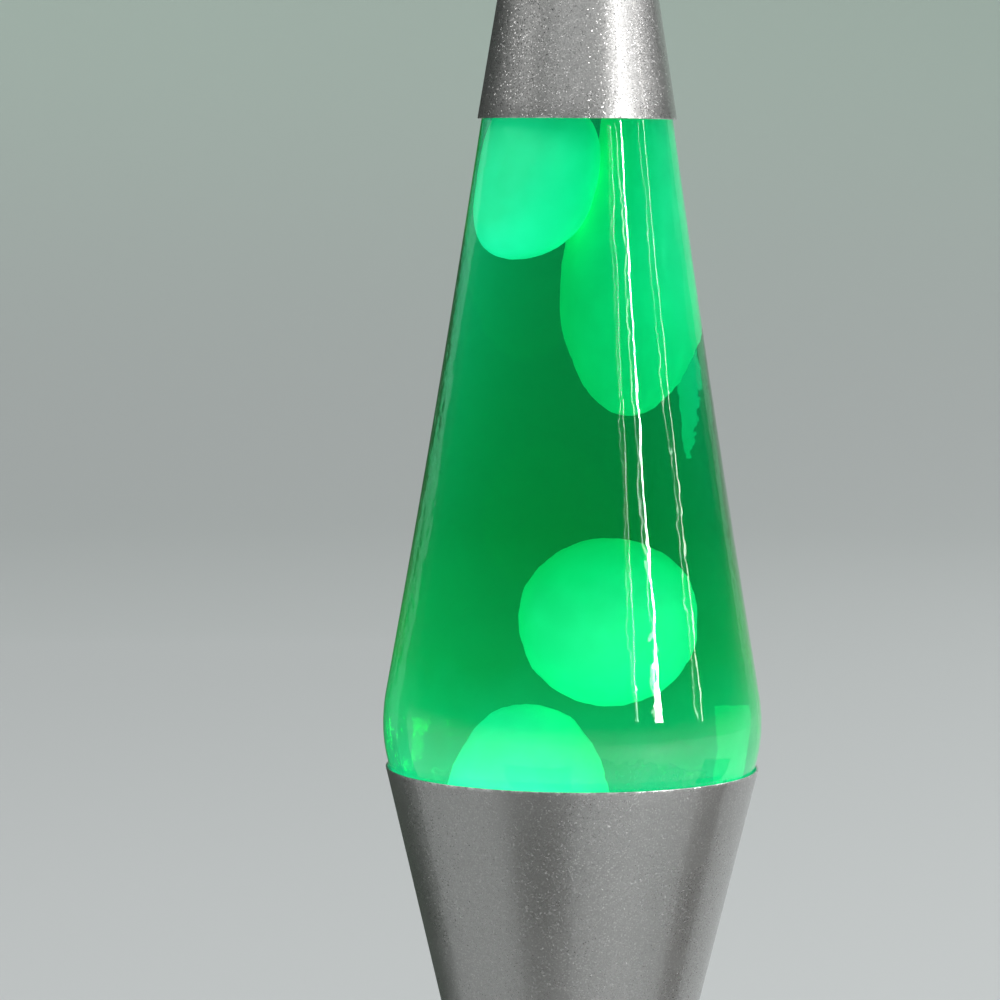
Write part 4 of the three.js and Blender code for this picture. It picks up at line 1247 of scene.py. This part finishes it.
def make_bulb_insulator():
    """Black disc between the tip and the screw shell."""
    insulator = Extent("bulb_insulator")
    outline = rounded([
        (0, insulator.bottom, 0),
        (bulb_tip.radius + 1, insulator.bottom, 0.3),
        (insulator.radius, bulb_shell.bottom, 0.5),
        (insulator.radius, insulator.top, 0.2),
        (0, insulator.top, 0),
    ])
    add_turned("bulb_black_glass", outline, SMALL_SIDES,
               "bulb", black_plastic, "black_plastic", "bulb_insulator")


def make_bulb_thread():
    """Screw shell, rolled into a round thread."""
    root = bulb_shell.radius - SCREW_DEPTH
    bore = root - SCREW_SHELL_WALL
    outline = filled_in([
        (bore, bulb_shell.bottom),
        (bulb_shell.radius, bulb_shell.bottom),
        (bulb_shell.radius, bulb_shell.top),
        (bore, bulb_shell.top),
    ], 0.22)
    rolled = thread(bulb_shell.radius, root, SCREW_PITCH, bulb_shell.bottom, bulb_shell.top)
    add_turned("bulb_thread", outline, MEDIUM_SIDES,
               "bulb", zinc_steel, "closure_steel", "bulb_screw_shell", warp=rolled)


def bulb_side(inset, steps=24):
    """Side of the bulb's glass, from its neck up to its top, drawn in by an inset."""
    centre = bulb_glass.top - bulb_glass.radius
    pear = centre - bulb_shell.top
    neck, widest = BULB_NECK_RADIUS - inset, bulb_glass.radius - inset
    heights = (bulb_shell.top, bulb_shell.top + pear * 0.35, centre - pear * 0.5, centre)
    points = []
    for i in range(steps + 1):
        t = i / steps
        weights = ((1 - t) ** 3, 3 * t * (1 - t) ** 2, 3 * t ** 2 * (1 - t), t ** 3)
        radius = neck * (weights[0] + weights[1]) + widest * (weights[2] + weights[3])
        points.append((radius, sum(w * z for w, z in zip(weights, heights))))
    return points + arc(0, centre, bulb_glass.radius - inset, 0, math.pi / 2, steps)[1:]


def make_bulb_envelope():
    """Thin pear of clear glass, open at its neck."""
    outline = [(BULB_NECK_RADIUS, bulb_glass.bottom)]
    outline += bulb_side(0)[:-1] + [(0, bulb_glass.top)]
    outline += [(0, bulb_glass.top - BULB_WALL)] + bulb_side(BULB_WALL)[-2::-1]
    outline += [(BULB_NECK_RADIUS - BULB_WALL, bulb_glass.bottom)]
    add_turned("bulb_envelope", outline, MEDIUM_SIDES,
               "bulb", thin_glass, "bulb_glass", "bulb_glass")


def make_bulb_stem():
    """Glass stem, flared at its foot, that carries the two wires."""
    stem = Extent("bulb_stem")
    outline = rounded([
        (0, stem.bottom, 0),
        (stem.radius, stem.bottom, 0.3),
        (BULB_STEM_RADIUS, stem.bottom + stem.height * 0.4, 2.5),
        (BULB_STEM_RADIUS, stem.top - 1.2, 0.5),
        (BULB_STEM_RADIUS * 0.8, stem.top, 0.5),
        (0, stem.top, 0),
    ])
    add_turned("bulb_stem_glass", outline, SMALL_SIDES,
               "bulb", thin_glass, "bulb_glass", "bulb_stem")


def make_bulb_wires():
    """Two bent wires, from the stem out to the ends of the filament."""
    steps = 16
    for name, node, sign in (
        ("bulb_wire_left", "bulb_lead_left", -1),
        ("bulb_wire_right", "bulb_lead_right", 1),
    ):
        lead = Extent(node)
        start = Vector((sign * BULB_STEM_RADIUS * 0.5, 0, lead.bottom))
        bend = Vector((sign * BULB_STEM_RADIUS, 0, lead.bottom + 3))
        end = Vector((sign * FILAMENT_HALF_SPAN, 0, lead.top - 0.2))
        path = []
        for i in range(steps + 1):
            t = i / steps
            path.append(start * (1 - t) ** 2 + bend * 2 * t * (1 - t) + end * t ** 2)
        add_piece(name, tube(name, path, WIRE_RADIUS * 0.8, 12),
                  "bulb", spring_steel, "spring_steel", node)


def make_bulb_filament():
    """Fine coil that arches between the two wires."""
    filament = Extent("bulb_filament")
    turns = 46
    steps_a_turn = 10
    wire = 0.09
    coil_radius = 0.38
    end_gap = 0.5
    reach = filament.radius - end_gap
    path = []
    for i in range(turns * steps_a_turn + 1):
        share = i / (turns * steps_a_turn)
        along = -reach + 2 * reach * share
        lift = FILAMENT_ARCH * (1 - (2 * share - 1) ** 4)
        turn = 2 * math.pi * i / steps_a_turn
        path.append((
            along,
            coil_radius * math.cos(turn),
            filament.bottom + end_gap + lift + coil_radius * math.sin(turn),
        ))
    add_piece("bulb_filament_coil", tube("bulb_filament_coil", path, wire, 6),
              "bulb", filament_glow, "filament", "bulb_filament")


# ---------------------------------------------------------------- lampholder

flange_top = holder.top - HOLDER_COLLAR
flange_under = flange_top - HOLDER_FLANGE
terminal_height = holder.bottom + POCKET_LIP + POCKET_HEIGHT / 2


def make_holder():
    """Moulded body with a flange, a collar with grips and a pocket for each terminal."""
    grips = 30

    def grip(radius, height, angle):
        if height > flange_top + 0.6 and radius > HOLDER_COLLAR_RADIUS - 0.05:
            return radius - 0.35 * (0.5 + 0.5 * math.cos(grips * angle)) ** 2, height
        return radius, height

    outline = rounded([
        (ROD_HOLE, holder.bottom, 0.4),
        (HOLDER_RADIUS, holder.bottom, 0.8),
        (HOLDER_RADIUS, flange_under, 0.2),
        (holder.radius, flange_under, 0.3),
        (holder.radius, flange_top, 0.5),
        (HOLDER_COLLAR_RADIUS, flange_top, 0.4),
        (HOLDER_COLLAR_RADIUS, holder.top, 0.5),
        (HOLDER_BORE, holder.top, 0.5),
        (HOLDER_BORE, holder.bottom + HOLDER_FLOOR, 0.4),
        (ROD_HOLE, holder.bottom + HOLDER_FLOOR, 0.3),
    ])
    body = turned("holder_moulded", filled_in(outline, 1.5), 180, grip)
    tools = []
    for turn in (0, math.pi):
        pocket = (POCKET_DEPTH * 2, POCKET_WIDTH, POCKET_HEIGHT)
        tools.append(block("pocket", pocket, (HOLDER_RADIUS, 0, terminal_height), turn))
    add_piece("holder_moulded", cut_away(body, tools), "base", black_plastic, "black_plastic",
              "lampholder_body")


def make_holder_shell():
    """Threaded sleeve that the bulb screws into."""
    bore = holder_shell.radius - 0.6

    def roll(radius, height, angle):
        phase = (height / SCREW_PITCH - angle / (2 * math.pi)) * 2 * math.pi
        fade = min(1, (height - holder_shell.bottom) / 2, (holder_shell.top - height) / 2)
        wave = 0.16 * max(0, fade) * (0.5 - 0.5 * math.sin(phase))
        return (radius - wave if radius > bore + 0.3 else radius + wave), height

    outline = filled_in([
        (bore, holder_shell.bottom),
        (holder_shell.radius, holder_shell.bottom),
        (holder_shell.radius, holder_shell.top),
        (bore, holder_shell.top),
    ], 0.28)
    add_turned("holder_sleeve", outline, MEDIUM_SIDES,
               "base", brass, "brass", "lampholder_screw_shell", warp=roll)


def make_holder_contact():
    """Springy strip, bent up in its middle to press on the bulb's tip."""
    strip = Extent("lampholder_centre_contact")
    thickness = 0.6
    rise = strip.height - thickness
    rise_start, rise_run = 4.0, 1.8
    end_start, end_run = 6.5, 1.5
    steps = 32
    line = []
    for i in range(steps + 1):
        x = -strip.radius + 2 * strip.radius * i / steps
        line.append((x, strip.bottom + rise * smooth_step((rise_start - abs(x)) / rise_run)))
    build = bmesh.new()
    half = strip.half_depth
    rows = []
    for x, z in line:
        narrow = half * (1 - 0.25 * max(0, (abs(x) - end_start) / end_run) ** 2)
        corners = ((-narrow, 0), (narrow, 0), (narrow, thickness), (-narrow, thickness))
        rows.append([build.verts.new(Vector((x, y, z + up)) * MM) for y, up in corners])
    build.faces.new(rows[0])
    build.faces.new(rows[-1])
    for here, after in zip(rows, rows[1:]):
        for k in range(4):
            nxt = (k + 1) % 4
            build.faces.new((here[k], here[nxt], after[nxt], after[k]))
    add_piece("holder_spring_strip", mesh_from("holder_spring_strip", build),
              "base", brass, "brass", "lampholder_centre_contact")


def make_terminal_screws():
    """Slotted screws in the holder's pockets."""
    for name, node, sign in (
        ("terminal_left", "terminal_screw_left", -1),
        ("terminal_right", "terminal_screw_right", 1),
    ):
        screw = Extent(node)
        length = screw.high.x - screw.low.x
        head = 1.6
        head_radius = screw.height / 2
        outline = rounded([
            (0, 0, 0),
            (TERMINAL_SHANK_RADIUS, 0, 0.2),
            (TERMINAL_SHANK_RADIUS, length - head, 0.05),
            (head_radius, length - head, 0.15),
            (head_radius, length, 0.5),
            (0, length, 0),
        ])
        mesh = turned(name, outline, SMALL_SIDES)
        slot_mesh = block("slot", (0.8, head_radius * 3, 1.4), (0, 0, length))
        mesh = cut_away(mesh, [slot_mesh])
        start = screw.low.x if sign > 0 else screw.high.x
        turn = Matrix.Rotation(sign * math.pi / 2, 4, "Y")
        mesh.transform(Matrix.Translation(Vector((start, 0, screw.middle.z)) * MM) @ turn)
        add_piece(name, mesh, "base", brass, "brass", node)


def make_ring_nut():
    """Moulded ring with finger grips that clamps both shells to the holder."""
    lobes = 24

    def grips(radius, height, angle):
        if radius < ring_nut.radius - 1.2:
            return radius, height
        return radius - 0.8 * (0.5 + 0.5 * math.cos(lobes * angle)) ** 3, height

    outline = rounded([
        (HOLE_IN_PLATES, ring_nut.bottom, 0.5),
        (ring_nut.radius, ring_nut.bottom, 0.6),
        (ring_nut.radius, ring_nut.top, 0.3),
        (HOLE_IN_PLATES, ring_nut.top, 0.3),
    ])
    add_turned("holder_ring", filled_in(outline, 1), LARGE_SIDES,
               "base", black_plastic, "black_plastic", "lampholder_ring_nut", warp=grips)


# ---------------------------------------------------------------- rod, nut, cover and feet

def make_rod():
    """Threaded rod that draws the cover up into the foot."""
    rod = Extent("tie_rod")
    outline = rounded([
        (0, rod.bottom, 0),
        (rod.radius, rod.bottom, 0.5),
        (rod.radius, rod.top, 0.5),
        (0, rod.top, 0),
    ])
    warp = thread(rod.radius, rod.radius - 0.35, 1.0, rod.bottom - 0.6, rod.top + 0.6)
    add_turned("rod_threaded", filled_in(outline, 0.2), SMALL_SIDES,
               "base", zinc_steel, "closure_steel", "tie_rod", warp=warp)


def make_washer():
    """Pressed washer with rounded edges."""
    washer = Extent("cover_washer")
    outline = rounded([
        (ROD_HOLE, washer.bottom, 0.15),
        (washer.radius, washer.bottom, 0.3),
        (washer.radius, washer.top, 0.15),
        (ROD_HOLE, washer.top, 0.15),
    ])
    add_turned("washer_pressed", outline, MEDIUM_SIDES,
               "base", zinc_steel, "closure_steel", "cover_washer")


def make_nut():
    """Hexagon nut with its corners turned down."""
    nut = Extent("cover_nut")
    corner = max(nut.radius, nut.half_depth)
    flat = corner * math.cos(math.pi / 6)
    first_corner = 0 if nut.radius > nut.half_depth else math.pi / 6

    def hexagon(radius, height, angle):
        from_flat = (angle - first_corner) % (math.pi / 3) - math.pi / 6
        return min(radius, flat / math.cos(from_flat)), height

    outline = rounded([
        (ROD_HOLE, nut.bottom + 0.3, 0),
        (ROD_HOLE + 0.3, nut.bottom, 0),
        (flat * 0.97, nut.bottom, 0),
        (corner, nut.bottom + 0.8, 0),
        (corner, nut.top - 0.8, 0),
        (flat * 0.97, nut.top, 0),
        (ROD_HOLE + 0.3, nut.top, 0),
        (ROD_HOLE, nut.top - 0.3, 0),
    ])
    add_turned("nut_hexagon", filled_in(outline, 0.5), MEDIUM_SIDES,
               "base", zinc_steel, "closure_steel", "cover_nut", warp=hexagon)


def make_cover():
    """Pressed cover with a recess for the nut and a circle of air slots."""
    recess = cover.top - COVER_THICKNESS
    side = COVER_RECESS_RADIUS + COVER_RECESS_SLOPE
    under = cover.bottom
    top = under + COVER_THICKNESS
    bead = cover.radius - 8.5
    outline = rounded([
        (ROD_HOLE, recess, 0.2),
        (COVER_RECESS_RADIUS, recess, 0.8),
        (side, under, 0.8),
        (bead - 12.6, under, 0.2),
        (cover.radius, under, 0.3),
        (cover.radius, top, 0.3),
        (side + COVER_THICKNESS, top, 0.8),
        (COVER_RECESS_RADIUS + COVER_THICKNESS, cover.top, 0.8),
        (ROD_HOLE, cover.top, 0.2),
    ])
    slots = []
    for i in range(VENT_SLOTS):
        turn = 2 * math.pi * (i + 0.5) / VENT_SLOTS
        slots.append(vent_slot(turn))
    mesh = cut_away(turned("cover_pressed", filled_in(outline, 4), LARGE_SIDES), slots)
    add_piece("cover_pressed", mesh, "base", black_plastic, "black_plastic", "bottom_cover")


def vent_slot(turn):
    """A round-ended slot that points away from the lamp's axis."""
    build = bmesh.new()
    half = VENT_WIDTH / 2
    ends = []
    near_end = (VENT_START + half, math.pi / 2)
    far_end = (VENT_START + VENT_LENGTH - half, -math.pi / 2)
    for centre, start in (near_end, far_end):
        for k in range(9):
            angle = start + math.pi * k / 8
            ends.append((centre + half * math.cos(angle), half * math.sin(angle)))
    rows = []
    for height in (cover.bottom - 3, cover.bottom + 3):
        rows.append([build.verts.new(Vector((x, y, height)) * MM) for x, y in ends])
    build.faces.new(rows[0])
    build.faces.new(rows[1])
    for k in range(len(ends)):
        after = (k + 1) % len(ends)
        build.faces.new((rows[0][k], rows[0][after], rows[1][after], rows[1][k]))
    bmesh.ops.rotate(build, cent=(0, 0, 0), matrix=Matrix.Rotation(turn, 3, "Z"), verts=build.verts)
    return mesh_from("vent_slot", build)


def make_rubber_feet():
    """Soft pads with rounded edges and a shallow hollow underneath."""
    for number in range(1, 5):
        pad = Extent(f"rubber_foot_{number}")
        outline = rounded([
            (0, 0.35, 0),
            (pad.radius * 0.5, 0.3, 0.6),
            (pad.radius * 0.62, 0, 0.4),
            (pad.radius * 0.98, 0, 0.5),
            (pad.radius, pad.top, 0.5),
            (0, pad.top, 0),
        ])
        name = f"rubber_pad_{number}"
        mesh = turned(name, outline, SMALL_SIDES)
        mesh.transform(Matrix.Translation(Vector((pad.middle.x, pad.middle.y, 0)) * MM))
        add_piece(name, mesh, "base", black_rubber, "rubber", f"rubber_foot_{number}")


# ---------------------------------------------------------------- camera, room and light

# The camera, the room and the lights are in metres and degrees. The lens, its sensor and the cards'
# thickness are in mm.
LENS = 154.8
SENSOR_WIDTH = 36
CAMERA_DISTANCE = 0.994
CAMERA_HEIGHT = 0.2898
CAMERA_YAW = 0.99
CAMERA_PITCH = 4.48
CAMERA_ROLL = 0.40
FLOOR_RADIUS = 2.4
FLOOR_CURVE = 2.0
FLOOR_COLOUR = (0.62, 0.63, 0.635, 1)
WALL_COLOUR = (0.66, 0.77, 0.70, 1)
CARD_THICKNESS = 2
CLOTH_COLOUR = (0.012, 0.018, 0.014, 1)
CLOTH_DISTANCE = 1.62
CLOTH_TOP = 0.86
SKY_COLOUR = (0.90, 0.95, 0.93, 1)
SKY_STRENGTH = 0.40
COOL_WHITE = (0.98, 0.98, 1.0)
WARM_WHITE = (1.0, 0.97, 0.93)
SKY_BLUE = (0.68, 0.88, 1.0)


def make_camera():
    """A long lens straight in front of the lamp, turned a little to the left and down."""
    yaw = math.radians(CAMERA_YAW)
    pitch = math.radians(CAMERA_PITCH)
    roll = math.radians(CAMERA_ROLL)
    place = Vector((0, -CAMERA_DISTANCE, CAMERA_HEIGHT))
    forward = Vector((-math.sin(yaw) * math.cos(pitch), math.cos(yaw) * math.cos(pitch), -math.sin(pitch)))
    level_right = Vector((math.cos(yaw), math.sin(yaw), 0))
    level_up = level_right.cross(forward)
    right = level_right * math.cos(roll) + level_up * math.sin(roll)
    up = level_up * math.cos(roll) - level_right * math.sin(roll)
    data = bpy.data.cameras.new("camera")
    data.sensor_width = SENSOR_WIDTH
    data.lens = LENS
    data.clip_start = 0.01
    data.clip_end = 50
    camera = bpy.data.objects.new("camera", data)
    turn = Matrix((right, up, -forward)).transposed().to_4x4()
    camera.matrix_world = Matrix.Translation(place) @ turn
    bpy.context.scene.collection.objects.link(camera)
    bpy.context.scene.camera = camera


def make_room():
    """Pale round floor that curves up into a low wall."""
    sides = 96
    floor_steps = 8
    curve_steps = 24
    outline = [(FLOOR_RADIUS * i / floor_steps, 0) for i in range(floor_steps + 1)]
    outline += arc(FLOOR_RADIUS, FLOOR_CURVE, FLOOR_CURVE, -math.pi / 2, 0, curve_steps)[1:]
    build = bmesh.new()
    centre = build.verts.new((0, 0, 0))
    rings = []
    for radius, height in outline[1:]:
        ring = []
        for k in range(sides):
            angle = 2 * math.pi * k / sides
            ring.append(build.verts.new((radius * math.cos(angle), radius * math.sin(angle), height)))
        rings.append(ring)
    for k in range(sides):
        after = (k + 1) % sides
        build.faces.new((centre, rings[0][k], rings[0][after]))
        for low, high in zip(rings, rings[1:]):
            build.faces.new((low[k], high[k], high[after], low[after]))
    mesh = bpy.data.meshes.new("floor")
    build.to_mesh(mesh)
    build.free()
    mesh.shade_smooth()

    material, tree, shader, output = new_material("pale floor")
    height = height_above_floor(tree, object_place(tree))
    up_wall = scaled_share(tree, height, 0.0, 0.5)
    colour = mix_colours(tree, up_wall, FLOOR_COLOUR, WALL_COLOUR)
    set_inputs(tree, shader, Base_Color=colour, Roughness=0.75)
    clear = add_node(tree, "ShaderNodeBsdfTransparent")
    backs = add_node(tree, "ShaderNodeNewGeometry").outputs["Backfacing"]
    seen = add_node(tree, "ShaderNodeLightPath").outputs["Is Camera Ray"]
    from_below = calculate(tree, "MULTIPLY", backs, seen)
    mix_inputs = {0: from_below, 1: shader.outputs[0], 2: clear.outputs[0]}
    mixed = add_node(tree, "ShaderNodeMixShader", mix_inputs)
    tree.links.new(mixed.outputs[0], output.inputs["Surface"])
    mesh.materials.append(material)
    floor = bpy.data.objects.new("floor", mesh)
    bpy.context.scene.collection.objects.link(floor)


def round_the_lamp(azimuth, distance, height):
    """A place round the lamp. Azimuth is in degrees to the right of the front."""
    turn = math.radians(azimuth)
    return Vector((math.sin(turn) * distance, -math.cos(turn) * distance, height))


def add_light(name, azimuth, distance, height, size, power, colour=(1, 1, 1), aim=0.2):
    """A soft box of a power in watts, which faces the lamp at the height that it is aimed at."""
    place = round_the_lamp(azimuth, distance, height)
    data = bpy.data.lights.new(name, "AREA")
    data.shape = "RECTANGLE"
    data.size, data.size_y = size
    data.energy = power
    data.color = colour
    light = bpy.data.objects.new(name, data)
    facing = (place - Vector((0, 0, aim))).to_track_quat("Z", "Y")
    light.matrix_world = Matrix.Translation(place) @ facing.to_matrix().to_4x4()
    light.visible_camera = False
    bpy.context.scene.collection.objects.link(light)
    return light


def only_in_reflections(thing):
    """Keeps a card or a lamp out of everything but mirror-like reflections."""
    thing.visible_camera = False
    thing.visible_diffuse = False
    thing.visible_transmission = False
    thing.visible_shadow = False


def add_card(name, azimuth, distance, size, colour):
    """A card on the floor that only reflections see, facing the lamp."""
    width, height = size
    mesh = block(name, (width / MM, CARD_THICKNESS, height / MM), (0, 0, 0))
    material, tree, shader, _ = new_material(name)
    set_inputs(tree, shader, Base_Color=(*colour, 1), Roughness=0.9)
    mesh.materials.append(material)
    card = bpy.data.objects.new(name, mesh)
    place = Matrix.Translation(round_the_lamp(azimuth, distance, height / 2))
    card.matrix_world = place @ Matrix.Rotation(math.radians(azimuth), 4, "Z")
    bpy.context.scene.collection.objects.link(card)
    only_in_reflections(card)


def add_dark_cloth(name, start, end):
    """A curved cloth round the set, from one azimuth to another, pale at the floor and dark above.

    Only reflections see it, those inside the bottle's glass among them.
    """
    steps = 60
    build = bmesh.new()
    rows = []
    for i in range(steps + 1):
        azimuth = start + (end - start) * i / steps
        low = round_the_lamp(azimuth, CLOTH_DISTANCE, 0)
        high = round_the_lamp(azimuth, CLOTH_DISTANCE, CLOTH_TOP)
        rows.append((build.verts.new(low), build.verts.new(high)))
    for here, after in zip(rows, rows[1:]):
        build.faces.new((here[0], after[0], after[1], here[1]))
    material, tree, shader, _ = new_material(name)
    height = height_above_floor(tree, object_place(tree))
    colour = mix_colours(tree, scaled_share(tree, height, 0.0, 0.3), FLOOR_COLOUR, CLOTH_COLOUR)
    set_inputs(tree, shader, Base_Color=colour, Roughness=0.95)
    mesh = bpy.data.meshes.new(name)
    build.to_mesh(mesh)
    build.free()
    mesh.materials.append(material)
    cloth = bpy.data.objects.new(name, mesh)
    bpy.context.scene.collection.objects.link(cloth)
    only_in_reflections(cloth)
    return cloth


def make_lights():
    """Narrow windows for the streaks, soft boxes all round, and cards and cloths for reflections."""
    add_light("window_strip", 54, 1.2, 0.49, (0.030, 0.42), 3.8, aim=0.25)
    add_light("window_foot", 53, 1.2, 0.33, (0.070, 0.13), 2.6, aim=0.25)
    add_light("window_bar", 40, 1.2, 0.48, (0.008, 0.40), 0.24, aim=0.25)
    add_light("window_side", 86, 1.3, 0.50, (0.022, 0.60), 0.60, WARM_WHITE, aim=0.3)
    add_light("soft_right", 92, 2.1, 1.5, (2.4, 0.8), 26.0, COOL_WHITE)
    add_light("soft_front", -8, 2.4, 1.75, (3.0, 0.7), 15.0, COOL_WHITE)
    add_light("soft_left", -84, 2.2, 1.6, (2.4, 0.8), 15.0, (0.99, 0.99, 1.0))
    add_light("soft_back", 148, 2.6, 1.7, (1.5, 1.0), 10.0)
    add_light("overhead", 0, 0.3, 2.4, (1.6, 1.6), 3.0)
    behind_left = add_light("behind_left", -146, 1.0, 0.55, (0.32, 1.40), 1.15, SKY_BLUE, aim=0.55)
    behind_left.visible_glossy = False
    behind_left.visible_diffuse = False
    front_cloth = add_dark_cloth("dark_cloth_front", -137, 138)
    front_cloth.visible_transmission = True
    add_dark_cloth("dark_cloth_left", -178, -137)
    add_card("dark_card_left", -140, 0.20, (0.24, 0.30), (0.03, 0.045, 0.03))
    add_card("dim_card_front", -19, 0.15, (0.10, 0.11), (0.20, 0.19, 0.18))
    add_card("warm_card_right", 90, 0.15, (0.06, 0.12), (0.10, 0.075, 0.06))
    add_card("bright_card_right", 57, 0.17, (0.07, 0.10), COOL_WHITE)


def make_world():
    """Even pale sky."""
    world = bpy.data.worlds.new("pale sky")
    bpy.context.scene.world = world
    world.use_nodes = True
    background = world.node_tree.nodes["Background"]
    background.inputs["Color"].default_value = SKY_COLOUR
    background.inputs["Strength"].default_value = SKY_STRENGTH


make_camera()
make_room()
make_world()
make_lights()
bpy.context.scene.view_settings.view_transform = "Standard"

make_cap()
make_base_cup()
make_base_foot()
make_grommet()
make_bottle()
make_closure()
make_liner()
make_liquid()
make_wax_bodies()
make_coil()
make_bulb_tip()
make_bulb_insulator()
make_bulb_thread()
make_bulb_envelope()
make_bulb_stem()
make_bulb_wires()
make_bulb_filament()
make_holder()
make_holder_shell()
make_holder_contact()
make_terminal_screws()
make_ring_nut()
make_rod()
make_washer()
make_nut()
make_cover()
make_rubber_feet()
